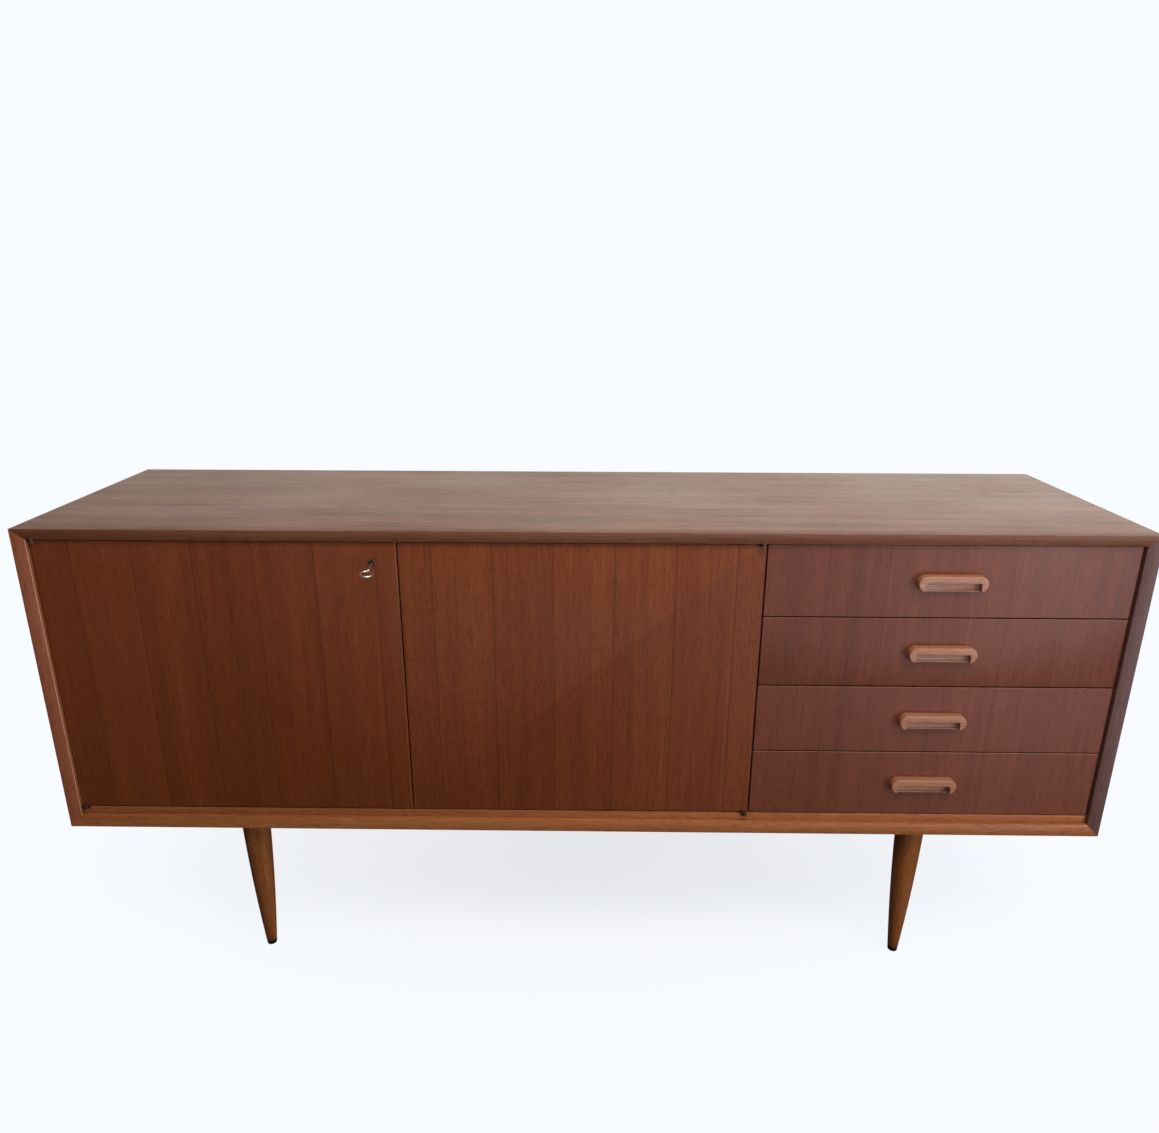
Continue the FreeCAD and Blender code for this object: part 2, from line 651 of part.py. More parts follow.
def drawer_bottom_slot(number, fit):
    """The drawer bottom's outline in its grooves; a fit makes it the smaller, real panel."""
    reach = SIDE_T - BOTTOM_GROOVE_D + fit
    x = (BOX_X[0] + reach, BOX_X[1] - reach)
    return block(x, (Y_FRONT_BACK - BOTTOM_GROOVE_D + fit, BOX_Y1 - BOX_BACK_INSET), bottom_z(number))


def drawer_back(number):
    reach = SIDE_T - BOX_DADO_D
    y1 = BOX_Y1 - BOX_BACK_INSET
    z = (bottom_z(number)[1], side_z(number)[1] - BOX_BACK_DROP)
    return block((BOX_X[0] + reach, BOX_X[1] - reach), (y1 - BOX_BACK_T, y1), z)


def drawer_side(number, x, groove_x):
    """One side: dovetail tongue in front, runner groove outside, dado and bottom groove inside."""
    z = side_z(number)
    board = block(x, (Y_FRONT_BACK, BOX_Y1), z)
    whole = joined([board, tongue((x[0] + x[1]) / 2, z, Y_FRONT_BACK + LAP)])
    low, high = runner_z(number)
    groove_y = (RUNNER_Y[0] - LOOSE, BOX_Y1)
    groove = block(groove_x, groove_y, (low - RUNNER_PLAY, high + RUNNER_PLAY))
    return whole.cut([groove, drawer_back(number), drawer_bottom_slot(number, 0.0)])


def drawer_box(number):
    depth = RUNNER_IN + RUNNER_SIDE_PLAY
    left = (BOX_X[0], BOX_X[0] + SIDE_T)
    right = (BOX_X[1] - SIDE_T, BOX_X[1])
    return [
        drawer_side(number, left, (left[0], left[0] + depth)),
        drawer_side(number, right, (right[1] - depth, right[1])),
        drawer_back(number),
    ]


def pull_centre(number):
    z = drawer_z(number)
    return Vector((DRAWER_X[0] + DRAWER_X[1]) / 2, Y_FACE, (z[0] + z[1]) / 2)


def pull_screws(number, fit=0.0):
    centre = pull_centre(number)
    reach = (PULL_W + PULL_RECESS_W) / 4
    screws = []
    for sign in (-1, 1):
        seat = Vector(centre.x + sign * reach, Y_FRONT_BACK, centre.z)
        shank = rod(PULL_SCREW_R + fit, seat, -Y_AXIS, FRONT_T + PULL_SCREW_IN + fit)
        head = rod(PULL_SCREW_HEAD_R, seat, Y_AXIS, PULL_SCREW_HEAD_H)
        screws.append(shank if fit else joined([shank, head]))
    return screws


def stadium(centre, width, height, y0, y1):
    """A bar with fully round ends, between two depths."""
    radius = height / 2
    straight = width / 2 - radius
    middle = block(
        (centre.x - straight, centre.x + straight), (y0, y1), (centre.z - radius, centre.z + radius)
    )
    ends = [rod(radius, Vector(centre.x + s * straight, y0, centre.z), Y_AXIS, y1 - y0) for s in (-1, 1)]
    return joined([middle] + ends)


def pull(number):
    """Turned-over bar pull: a rounded slip of wood, hollowed from below for the fingertips."""
    centre = pull_centre(number)
    front = Y_FACE - PULL_OUT
    body = stadium(centre, PULL_W, PULL_H, front, Y_FACE)
    rim = [e for e in body.Edges if e.BoundBox.YMax < front + NEAR]
    body = body.makeFillet(PULL_EDGE_R, rim)
    lip_z = centre.z + PULL_H / 2 - PULL_LIP
    half = PULL_RECESS_W / 2
    recess_y = (front - LAP, Y_FACE - PULL_BASE)
    recess = block((centre.x - half, centre.x + half), recess_y, (centre.z - PULL_H, lip_z))
    corners = [e for e in recess.Edges if e.BoundBox.ZMin > lip_z - NEAR and e.BoundBox.YLength > LAP]
    recess = recess.makeFillet(PULL_RECESS_R, corners)
    return body.cut([recess] + pull_screws(number, SCREW_FIT))


def drawer_front(number):
    z = drawer_z(number)
    board = block(DRAWER_X, (Y_FACE, Y_FRONT_BACK), z)
    socket_z = (z[0], side_z(number)[1])
    sockets = [
        tongue(BOX_X[0] + SIDE_T / 2, socket_z, Y_FRONT_BACK + LAP),
        tongue(BOX_X[1] - SIDE_T / 2, socket_z, Y_FRONT_BACK + LAP),
    ]
    groove = drawer_bottom_slot(number, 0.0)
    return board.cut(sockets + [groove] + pull_screws(number, SCREW_FIT))


# ---------------------------------------------------------------- put together
def case_nodes():
    legs = leg_places()
    spots = list(legs.values())
    dividers = [divider(x) for x in DIVIDER_XS]
    leaves = [case_leaf_below(PIVOT_LEFT_X), case_leaf_above(PIVOT_LEFT_X)]
    for shape in (case_leaf_below(PIVOT_LEFT_X), case_leaf_above(PIVOT_LEFT_X)):
        moved = mirrored_x(shape, (PIVOT_LEFT_X + PIVOT_RIGHT_X) / 2)
        leaves.append(moved)
    let_in = [back_recess()] + back_screws(SCREW_FIT)
    for x, y in spots:
        let_in += plate_screws(x, y, SCREW_FIT) + [leg_bolt(x, y, BOLT_ROOM)]

    nodes = {}
    for side in ("top", "bottom", "left", "right"):
        board = case_board(side, LIPPING_D, CASE_D)
        name = "side_panel_" + side if side in ("left", "right") else side + "_panel"
        nodes[name] = [board.cut(let_in + dividers + leaves + pin_holes())]
        nodes["lipping_" + side] = [lipping(side).cut(let_in + leaves)]
    nodes["bottom_rail"] = [bottom_rail().cut(leaves)]
    nodes["divider_middle"] = [dividers[0].cut(pin_holes())]
    nodes["divider_right"] = [dividers[1].cut(pin_holes())]
    nodes["back_panel"] = [back_panel().cut(back_screws(SCREW_FIT))]
    nodes["back_panel_screws"] = back_screws()
    left, right = compartments()
    nodes["shelf_left"] = [shelf(left)]
    nodes["shelf_right"] = [shelf(right)]
    nodes["shelf_pins"] = shelf_pins()
    nodes["drawer_runners"] = [r for n in range(1, DRAWER_COUNT + 1) for r in runners(n)]
    for name, (x, y) in legs.items():
        nodes[name] = [leg(x, y)]
    nodes["leg_plates"] = [leg_plate(x, y) for x, y in spots]
    nodes["leg_plate_screws"] = [s for x, y in spots for s in plate_screws(x, y)]
    nodes["leg_bolts"] = [leg_bolt(x, y) for x, y in spots]
    nodes["foot_glides"] = [foot_glide(x, y) for x, y in spots]
    nodes["hinge_leaves_case"] = leaves
    nodes["magnetic_catch"] = [magnetic_catch()]
    return nodes


def door_left_nodes():
    leaves = door_leaves(PIVOT_LEFT_X)
    keyhole = rod(ESCUTCHEON_R, Vector(KEY_X, Y_FACE, KEY_Z), Y_AXIS, FRONT_T)
    let_in = leaves + [keyhole, lock_case_shape()]
    return {
        "door_left_board": [door_board(DOOR_LEFT_X).cut(let_in)],
        "door_left_lippings": [strip.cut(let_in) for strip in door_lippings(DOOR_LEFT_X)],
        "door_left_hinge_leaves": leaves,
        "lock_case": [lock_case()],
        "keyhole_escutcheon": [escutcheon()],
        "lock_barrel": [lock_barrel()],
        "lock_bolt": [lock_bolt()],
        "key": [key()],
    }


def door_right_nodes():
    leaves = [mirrored_x(s, (PIVOT_LEFT_X + PIVOT_RIGHT_X) / 2) for s in door_leaves(PIVOT_LEFT_X)]
    let_in = leaves + [strike_plate(), strike_mouth(), catch_plate()]
    return {
        "door_right_board": [door_board(DOOR_RIGHT_X).cut(let_in)],
        "door_right_lippings": [strip.cut(let_in) for strip in door_lippings(DOOR_RIGHT_X)],
        "door_right_hinge_leaves": leaves,
        "strike_plate": [strike_plate().cut(strike_mouth())],
        "catch_plate": [catch_plate()],
    }


def drawer_nodes(number):
    name = "drawer_" + str(number)
    return {
        name + "_front": [drawer_front(number)],
        name + "_box": drawer_box(number),
        name + "_bottom": [drawer_bottom_slot(number, BOTTOM_FIT)],
        name + "_pull": [pull(number)],
        name + "_pull_screws": pull_screws(number),
    }


def all_nodes():
    nodes = case_nodes()
    nodes.update(door_left_nodes())
    nodes.update(door_right_nodes())
    for number in range(1, DRAWER_COUNT + 1):
        nodes.update(drawer_nodes(number))
    return nodes


def save(name, shapes):
    """Writes one node, with every solid checked, shifted into the object's own frame."""
    solids = [solid for shape in shapes for solid in shape.Solids]
    for solid in solids:
        if not solid.isValid() or solid.Volume <= 0:
            raise ValueError(name + " holds a solid that is not valid")
    whole = Part.makeCompound(solids)
    whole.translate(Vector(0, Y_SHIFT, 0))
    whole.exportStep("parts/" + name + ".step")
    return len(solids)


if __name__ == "__main__":
    os.makedirs("parts", exist_ok=True)
    for node_name, node_shapes in all_nodes().items():
        count = save(node_name, node_shapes)
        print(node_name, count)
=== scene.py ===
# %% [markdown]
# # A teak sideboard with doors and drawers
#
# This file dresses a finished CAD model of a low teak sideboard: a mitred case on four turned legs, two
# hinged doors, the first with a lock and its key, and four drawers with bar pulls.  The CAD model holds every
# size and every joint.  What follows gives each piece its softened edges, its grain and its light.

# %% The frame
import json
import math

import bpy
from mathutils import Matrix, Vector

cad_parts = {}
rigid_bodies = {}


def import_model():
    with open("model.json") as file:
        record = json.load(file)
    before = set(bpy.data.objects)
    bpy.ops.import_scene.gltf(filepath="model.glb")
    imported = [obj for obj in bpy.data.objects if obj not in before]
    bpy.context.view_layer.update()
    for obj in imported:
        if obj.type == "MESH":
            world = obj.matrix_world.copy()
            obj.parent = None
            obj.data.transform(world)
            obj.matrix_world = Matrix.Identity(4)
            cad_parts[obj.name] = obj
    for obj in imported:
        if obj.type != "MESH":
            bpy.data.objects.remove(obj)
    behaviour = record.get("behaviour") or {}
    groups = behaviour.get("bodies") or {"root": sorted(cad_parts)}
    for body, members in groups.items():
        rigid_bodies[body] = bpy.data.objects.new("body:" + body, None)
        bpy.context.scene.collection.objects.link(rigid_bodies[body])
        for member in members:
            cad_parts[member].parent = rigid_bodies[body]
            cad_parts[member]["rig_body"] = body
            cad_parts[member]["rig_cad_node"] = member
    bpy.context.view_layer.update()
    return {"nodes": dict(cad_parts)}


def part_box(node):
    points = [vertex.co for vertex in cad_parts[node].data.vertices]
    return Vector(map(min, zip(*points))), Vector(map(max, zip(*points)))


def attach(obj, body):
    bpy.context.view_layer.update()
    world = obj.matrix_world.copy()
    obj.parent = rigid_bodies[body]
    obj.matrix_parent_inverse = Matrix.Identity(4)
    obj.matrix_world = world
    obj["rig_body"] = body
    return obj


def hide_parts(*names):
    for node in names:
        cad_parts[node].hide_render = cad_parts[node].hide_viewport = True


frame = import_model()

# %% [markdown]
# ## Sizes that many pieces share
#
# The CAD nodes know where they are, so the few planes that the pieces have in common are read from their
# boxes.  `MM` turns the millimetres that a joiner would use into Blender's metres.

# %% Shared sizes
MM = 0.001

CASE_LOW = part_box("lipping_bottom")[0]
CASE_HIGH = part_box("lipping_top")[1]
HALF_WIDTH = CASE_HIGH.x
FRONT_Y = CASE_LOW.y
LIPPING_BACK_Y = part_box("lipping_top")[1].y
DOOR_FACE_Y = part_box("door_left_board")[0].y
print("case", CASE_LOW[:], "front arris", FRONT_Y, "door face", DOOR_FACE_Y)

# %% [markdown]
# ## The camera
#
# A sideboard is low and long, so it is looked down on from chest height, from close by and with a wide
# lens.  The camera is turned by three angles: 18 degrees down, a fraction of a degree to the left, and a trace
# of roll.

# %% Camera
CAMERA_PLACE = Vector((0.0096, -1.4886, 1.2008))
CAMERA_LENS = 26.67
CAMERA_PITCH = math.radians(18.39)
CAMERA_YAW = math.radians(-0.64)
CAMERA_ROLL = math.radians(0.18)


def aimed(place, pitch, yaw, roll):
    """The matrix of something that looks along its own -Z, first level and to the back, then tipped down."""
    forward = Vector((math.sin(yaw) * math.cos(pitch), math.cos(yaw) * math.cos(pitch), -math.sin(pitch)))
    right = forward.cross(Vector((0, 0, 1))).normalized()
    up = right.cross(forward)
    x_axis = right * math.cos(roll) + up * math.sin(roll)
    y_axis = up * math.cos(roll) - right * math.sin(roll)
    matrix = Matrix((x_axis, y_axis, -forward)).transposed().to_4x4()
    matrix.translation = place
    return matrix


camera_data = bpy.data.cameras.new("camera")
camera_data.sensor_width = 36.0
camera_data.lens = CAMERA_LENS
camera_data.clip_start = 0.02
camera_data.clip_end = 60.0
camera = bpy.data.objects.new("camera", camera_data)
bpy.context.scene.collection.objects.link(camera)
camera.matrix_world = aimed(CAMERA_PLACE, CAMERA_PITCH, CAMERA_YAW, CAMERA_ROLL)
bpy.context.scene.camera = camera
print("camera at", CAMERA_PLACE[:], "lens", CAMERA_LENS)

# %% [markdown]
# ## Nodes and colours
#
# Every finish below is a small network of shader nodes.  One function adds a node, sets it and wires it, and
# one turns hex colours, as a screen shows them, into the linear light that Cycles works in.

# %% Helpers for materials
def linear(hex_colour):
    """An sRGB hex colour as linear red, green, blue and alpha."""
    channels = [int(hex_colour[i:i + 2], 16) / 255 for i in (1, 3, 5)]
    light = [c / 12.92 if c <= 0.04045 else ((c + 0.055) / 1.055) ** 2.4 for c in channels]
    return (*light, 1.0)


def add(tree, kind, wires=None, **settings):
    """Adds a shader node.  wires gives each input, by name or number, a value or the socket that feeds it."""
    node = tree.nodes.new("ShaderNode" + kind)
    for name, value in settings.items():
        setattr(node, name, value)
    for key, value in (wires or {}).items():
        if isinstance(value, bpy.types.NodeSocket):
            tree.links.new(value, node.inputs[key])
        else:
            node.inputs[key].default_value = value
    return node


def new_material(name):
    """An empty node material."""
    material = bpy.data.materials.new(name)
    material.use_nodes = True
    material.node_tree.nodes.clear()
    return material


def ramp(tree, factor, stops):
    """A colour ramp from (place, hex colour) pairs."""
    node = add(tree, "ValToRGB", {"Fac": factor})
    elements = node.color_ramp.elements
    elements[0].position, elements[1].position = stops[0][0], stops[-1][0]
    elements[0].color, elements[1].color = linear(stops[0][1]), linear(stops[-1][1])
    for place, colour in stops[1:-1]:
        elements.new(place).color = linear(colour)
    return node.outputs["Color"]


def spread(tree, value, low, high, to_low=0.0, to_high=1.0):
    """Maps low..high to to_low..to_high, and holds it there."""
    return add(tree, "MapRange", {0: value, 1: low, 2: high, 3: to_low, 4: to_high}).outputs[0]


def maths(tree, operation, first, second=0.0):
    """The result of a sum on one or two values."""
    return add(tree, "Math", {0: first, 1: second}, operation=operation).outputs[0]


def blended(tree, factor, first, second, how="MIX"):
    """Two colours mixed, multiplied or overlaid by a factor."""
    node = add(tree, "Mix", {0: factor, 6: first, 7: second}, data_type="RGBA", blend_type=how)
    return node.outputs[2]


# %% [markdown]
# ## Wood grain
#
# Teak is a ring-porous wood: long open pores, a few tenths of a millimetre wide, run in dark dashes along the
# grain, between bands of lighter and darker brown.  A veneered front is laid from narrow leaves that are
# sliced from one log and glued edge to edge, so its tone jumps a little at each upright seam.
#
# The same network makes all of it.  The object's own coordinates are squeezed along the grain, so that round
# noise becomes long shapes: a broad figure some 30 mm wide, streaks 5 mm wide, fibres 2 mm wide, and pores.
# The real pores are too fine to show from a few steps away, so they are drawn as wide as a bundle of them,
# nearly 2 mm, and twice that on the top, which is seen at a slant.

# %% The wood network
GRAIN_LENGTHWISE = "x"
GRAIN_UPRIGHT = "z"
GRAIN_DEEP = "y"
STREAK_MM = (5.0, 260)     # width across the grain, and length along it
FIBRE_MM = (2.0, 45)
SEAM_MM = 0.9              # from the middle of a glued seam to where it has faded
RINGS = 9.0                # growth lines over the broad figure's whole range
SEAM_BROWN = "#1E0B05"
SCUFF_TAN = "#C79C7E"


def grain_scale(grain, across_mm, along_mm):
    """Noise scale, per metre, for a pattern so wide across the grain and so long along it."""
    across, along = 1 / (across_mm * MM), 1 / (along_mm * MM)
    return tuple(along if axis == grain else across for axis in "xyz")


def grain_noise(tree, place, grain, across_mm, along_mm, detail=2.0, rough=0.5, twist=0.0):
    """Noise drawn out along the grain."""
    wide = add(tree, "Mapping", {"Vector": place, "Scale": grain_scale(grain, across_mm, along_mm)})
    return add(tree, "TexNoise", {
        "Vector": wide.outputs[0], "Scale": 1.0, "Detail": detail, "Roughness": rough, "Distortion": twist,
    }).outputs[0]


def wood(name, grain, stops, roughness, leaf=None, figure=(30, 900), contrast=1.0, gloss=0.3, seed=0.0,
         pore_depth=0.5, pore_mm=(1.8, 14), pore_dark=0.55, lines=0.1, seam_dark=0.7, scuffs=0.0):
    """A finished wood.  stops are the tones of its figure from dark to light, and leaf = (axis, width in mm,
    first seam in m) lays it as veneer leaves."""
    material = new_material(name)
    tree = material.node_tree
    place = add(tree, "TexCoord").outputs["Object"]
    place = add(tree, "VectorMath", {0: place, 1: (seed, seed * 0.7, seed * 1.3)}, operation="ADD").outputs[0]
    tone_jump = None
    if leaf:
        axis, width, start = leaf
        split = add(tree, "SeparateXYZ", {0: add(tree, "TexCoord").outputs["Object"]})
        from_start = maths(tree, "SUBTRACT", split.outputs["xyz".index(axis)], start)
        counted = maths(tree, "DIVIDE", from_start, width * MM)
        number = maths(tree, "FLOOR", counted)
        chance = add(tree, "TexWhiteNoise", {"W": maths(tree, "ADD", number, seed)}, noise_dimensions="1D")
        shift = add(tree, "VectorMath", {0: chance.outputs["Color"], "Scale": 3.0}, operation="SCALE")
        place = add(tree, "VectorMath", {0: place, 1: shift.outputs[0]}, operation="ADD").outputs[0]
        tone_jump = chance.outputs["Value"]
        to_seam = maths(tree, "PINGPONG", counted, 0.5)
        seam = spread(tree, to_seam, 0.0, SEAM_MM / width, 1.0, 0.0)

    broad = grain_noise(tree, place, grain, *figure, detail=3.0, rough=0.5, twist=0.3)
    streak = grain_noise(tree, place, grain, *STREAK_MM, detail=3.0, rough=0.6, twist=0.15)
    fibre = grain_noise(tree, place, grain, *FIBRE_MM, detail=3.0, rough=0.65)
    pore = grain_noise(tree, place, grain, *pore_mm, detail=1.0)

    # growth lines: thin dark lines where the broad figure crosses certain levels, so they follow it
    rings = maths(tree, "PINGPONG", maths(tree, "MULTIPLY", broad, RINGS), 0.5)
    line = spread(tree, rings, 0.0, 0.12, 1.0, 0.0)

    level = spread(tree, broad, 0.3, 0.7, -0.22, 0.22)
    level = maths(tree, "ADD", level, spread(tree, streak, 0.3, 0.7, -0.14, 0.14))
    level = maths(tree, "ADD", level, spread(tree, fibre, 0.3, 0.7, -0.26, 0.26))
    if tone_jump is not None:
        level = maths(tree, "ADD", level, spread(tree, tone_jump, 0.0, 1.0, -0.1, 0.1))
    level = maths(tree, "ADD", maths(tree, "MULTIPLY", level, 0.8 * contrast), 0.5)
    colour = ramp(tree, level, stops)

    dark = stops[0][1]
    pores = maths(tree, "MULTIPLY", spread(tree, pore, 0.57, 0.7), pore_dark * contrast)
    colour = blended(tree, pores, colour, linear(dark))
    colour = blended(tree, maths(tree, "MULTIPLY", line, lines * contrast), colour, linear(dark))
    if leaf:
        colour = blended(tree, maths(tree, "MULTIPLY", seam, seam_dark), colour, linear(SEAM_BROWN))
    if scuffs:
        cells = add(tree, "TexVoronoi", {"Vector": place, "Scale": 9.0, "Randomness": 1.0}, feature="F1")
        rare = spread(tree, add(tree, "SeparateColor", {0: cells.outputs["Color"]}).outputs[0], 0.9, 0.91)
        spot = spread(tree, cells.outputs["Distance"], 0.012, 0.024, 1.0, 0.0)
        mark = maths(tree, "MULTIPLY", maths(tree, "MULTIPLY", rare, spot), scuffs)
        colour = blended(tree, mark, colour, linear(SCUFF_TAN))

    sheen_patch = add(tree, "TexNoise", {"Vector": place, "Scale": 5.0, "Detail": 3.0}).outputs[0]
    rough = maths(tree, "ADD", spread(tree, sheen_patch, 0.3, 0.7, -0.05, 0.05), roughness)
    rough = maths(tree, "ADD", rough, spread(tree, fibre, 0.3, 0.7, -0.04, 0.06))
    height = maths(tree, "SUBTRACT", maths(tree, "MULTIPLY", fibre, 0.35), spread(tree, pore, 0.55, 0.7))
    bump = add(tree, "Bump", {"Height": height, "Strength": pore_depth, "Distance": 0.12 * MM})
    surface = add(tree, "BsdfPrincipled", {
        "Base Color": colour, "Roughness": rough, "Normal": bump.outputs[0],
        "Specular IOR Level": gloss, "IOR": 1.5,
    })
    add(tree, "OutputMaterial", {"Surface": surface.outputs[0]})
    print("wood", name, "grain along", grain)
    return material


# %% [markdown]
# ## Teak, veneered and solid
#
# The fronts are straight-sliced teak veneer, oiled and waxed.  Years of light have turned them a
# dark red-brown.  The top is sliced through the heart, so its figure runs in long flames, and wear and light
# have greyed it.  The rail, the legs and the lower lipping are solid teak, a lighter, more orange brown.
#
# The other lippings are given tones of their own, partly their wood and partly painted light.  The left one,
# which faces the window, is a little redder; the top one, which faces down, is darker, as painted shade; the
# right one, which faces away from the window, is darkest and greyest, as painted shade and haze as much as its
# wood.  The two doors and the drawers also differ, from brown to rose, partly in their veneer and partly as
# painted light: the left door is darker as painted shade, and the drawers rosier as painted haze.  The arrises
# that face the light are painted paler, as a painted highlight.

# %% Teak finishes
# On the left door these tones are partly painted shade, darker than the middle door's.
TEAK_DARK = [(0.0, "#481E0A"), (0.3, "#6E3211"), (0.7, "#803F18"), (1.0, "#995526")]
TEAK_WARM = [(0.0, "#461E0C"), (0.3, "#6E3316"), (0.7, "#81421E"), (1.0, "#9A582D")]
# The drawers' rosy tones are partly painted haze.
TEAK_ROSE = [(0.0, "#441F0E"), (0.3, "#69331C"), (0.7, "#7C4126"), (1.0, "#955636")]
TEAK_TOP = [(0.0, "#543120"), (0.3, "#7C5039"), (0.7, "#93664B"), (1.0, "#AC8263")]
TEAK_SOLID = [(0.0, "#733E20"), (0.3, "#9F5C31"), (0.7, "#B37040"), (1.0, "#CB905E")]
# The left lipping's tones are partly its wood as it looks in the light that it faces.
TEAK_BESIDE = [(0.0, "#66341C"), (0.3, "#8C4D2F"), (0.7, "#9E5C3B"), (1.0, "#B67756")]
# Painted shade: the top lipping faces down, so its tones are darker than its wood.
TEAK_ABOVE_PAINTED_SHADE = [(0.0, "#4A2614"), (0.3, "#6E3C22"), (0.7, "#7E4A2C"), (1.0, "#966341")]
TEAK_PULL = [(0.0, "#7E4A30"), (0.3, "#A56E50"), (0.7, "#B67F60"), (1.0, "#CC9A7C")]
# Painted shade and haze: the right lipping faces away from the light, so its tones are darker and greyer than
# its wood.
TEAK_BESIDE_PAINTED_SHADE = [(0.0, "#40261E"), (0.3, "#5C3A30"), (0.7, "#6C473C"), (1.0, "#825F54")]
# Painted highlight: paler tones for the arrises that face the light.
TEAK_ARRIS_HIGHLIGHT = [(0.0, "#A87A5A"), (0.3, "#BC8E6C"), (0.7, "#CBA07E"), (1.0, "#DCB898")]
TEAK_LEG = [(0.0, "#5F3217"), (0.3, "#8E5127"), (0.7, "#A16233"), (1.0, "#BA8050")]

door_left_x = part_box("door_left_board")[0].x
door_right_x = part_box("door_right_board")[0].x
drawer_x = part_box("drawer_1_front")[0].x
LEAF_MM = 97.5
LEFT_TRIM = 41 * MM        # sawn off the first leaf of each door's veneer
RIGHT_TRIM = 49 * MM

veneer_door_left = wood("oiled_teak_veneer_left_door", GRAIN_UPRIGHT, TEAK_DARK, 0.48,
                        leaf=("x", LEAF_MM, door_left_x - LEFT_TRIM), seed=1.0, gloss=0.34, contrast=0.75)
veneer_door_right = wood("oiled_teak_veneer_middle_door", GRAIN_UPRIGHT, TEAK_WARM, 0.5,
                         leaf=("x", LEAF_MM, door_right_x - RIGHT_TRIM), seed=2.0, gloss=0.26, contrast=0.8,
                         scuffs=0.5)
veneer_drawers = wood("oiled_teak_veneer_drawers", GRAIN_UPRIGHT, TEAK_ROSE, 0.46,
                      leaf=("x", LEAF_MM, drawer_x), seed=3.0, gloss=0.48, contrast=0.75, seam_dark=0.3,
                      scuffs=0.6)
veneer_top = wood("waxed_teak_veneer_top", GRAIN_LENGTHWISE, TEAK_TOP, 0.34,
                  leaf=("y", 150.0, FRONT_Y), figure=(24, 380), contrast=1.4, gloss=0.4, seed=4.0,
                  pore_mm=(3.6, 30), pore_dark=0.5, lines=0.3, pore_depth=0.8)
veneer_sides = wood("oiled_teak_veneer_sides", GRAIN_UPRIGHT, TEAK_DARK, 0.42,
                    leaf=("y", 140.0, FRONT_Y), seed=5.0)
veneer_inside = wood("plain_teak_veneer_inside", GRAIN_DEEP, TEAK_WARM, 0.55, seed=6.0, gloss=0.2)
veneer_inside_upright = wood("plain_teak_veneer_dividers", GRAIN_UPRIGHT, TEAK_WARM, 0.55, seed=7.0,
                             gloss=0.2)
solid_lengthwise = wood("oiled_solid_teak_lengthwise", GRAIN_LENGTHWISE, TEAK_SOLID, 0.42, figure=(14, 600),
                        seed=8.0)
solid_above_painted_shade = wood("oiled_solid_teak_above_painted_shade", GRAIN_LENGTHWISE, TEAK_ABOVE_PAINTED_SHADE, 0.42, figure=(14, 600),
                   gloss=0.55, seed=16.0)
solid_upright = wood("oiled_solid_teak_upright", GRAIN_UPRIGHT, TEAK_BESIDE, 0.42, figure=(14, 600), seed=9.0)
solid_shaded = wood("oiled_solid_teak_right_painted_shade", GRAIN_UPRIGHT, TEAK_BESIDE_PAINTED_SHADE, 0.45, figure=(14, 600),
                    gloss=0.6, seed=17.0)
lit_arris_highlight = wood("teak_arris_painted_highlight", GRAIN_LENGTHWISE, TEAK_ARRIS_HIGHLIGHT, 0.4, figure=(14, 120), seed=18.0)
solid_door_edge = wood("oiled_teak_door_edge", GRAIN_UPRIGHT, TEAK_WARM, 0.42, figure=(9, 500), seed=15.0)
solid_leg = wood("turned_teak_leg", GRAIN_UPRIGHT, TEAK_LEG, 0.4, figure=(10, 400), seed=10.0)
solid_pull = wood("shaped_teak_pull", GRAIN_LENGTHWISE, TEAK_PULL, 0.3, figure=(8, 200), seed=11.0,
                  contrast=0.7, gloss=0.5)

# %% [markdown]
# ## The plainer woods
#
# What doesn't show from the front was made of cheaper wood: planed beech for the drawer boxes and runners,
# pale with short brown flecks, and thin beech-faced plywood for the drawer bottoms and the back.

# %% Beech and plywood
BEECH = [(0.0, "#9C744C"), (0.35, "#BE9668"), (0.65, "#CCA678"), (1.0, "#DCBC92")]
PLYWOOD = [(0.0, "#7A5536"), (0.35, "#997049"), (0.65, "#A87E55"), (1.0, "#BE966A")]
beech_deep = wood("planed_beech_sides", GRAIN_DEEP, BEECH, 0.5, figure=(16, 300), contrast=0.6, seed=12.0)
plywood_cross = wood("plywood_lengthwise", GRAIN_LENGTHWISE, PLYWOOD, 0.6, figure=(45, 700), contrast=0.7,
                     seed=13.0)
plywood_back = wood("plywood_back", GRAIN_UPRIGHT, PLYWOOD, 0.65, figure=(60, 900), contrast=0.8, seed=14.0)

# %% [markdown]
# ## Metal and plastic
#
# The lock's case, the strike plate and the shelf pins are brass that has dulled.  The hinges, the keyhole's
# trim and the lock's barrel have browned further, to a bronze.  The screws and leg plates are zinc-plated
# steel, and the key nickel-plated steel, worn by fingers.  A metal's colour is in its reflection, so what
# tells them apart is the tint, and the fine scratches that make the shine uneven.  The foot glides and the
# catch are black moulded plastic with a soft sheen.

# %% Metal and plastic finishes
def metal(name, bright, dull, roughness, scratch_mm=0.6):
    """A metal whose tint and shine vary with handling.  bright and dull are hex colours."""
    material = new_material(name)
    tree = material.node_tree
    place = add(tree, "TexCoord").outputs["Object"]
    tarnish = add(tree, "TexNoise", {"Vector": place, "Scale": 90.0, "Detail": 4.0, "Roughness": 0.6})
    colour = ramp(tree, tarnish.outputs[0], [(0.38, dull), (0.62, bright)])
    scratches = grain_noise(tree, place, GRAIN_LENGTHWISE, scratch_mm, 12 * scratch_mm, detail=2.0)
    rough = maths(tree, "ADD", spread(tree, scratches, 0.35, 0.65, -0.08, 0.1), roughness)
    bump = add(tree, "Bump", {"Height": scratches, "Strength": 0.2, "Distance": 0.02 * MM})
    surface = add(tree, "BsdfPrincipled", {
        "Base Color": colour, "Metallic": 1.0, "Roughness": rough, "Normal": bump.outputs[0],
    })
    add(tree, "OutputMaterial", {"Surface": surface.outputs[0]})
    return material


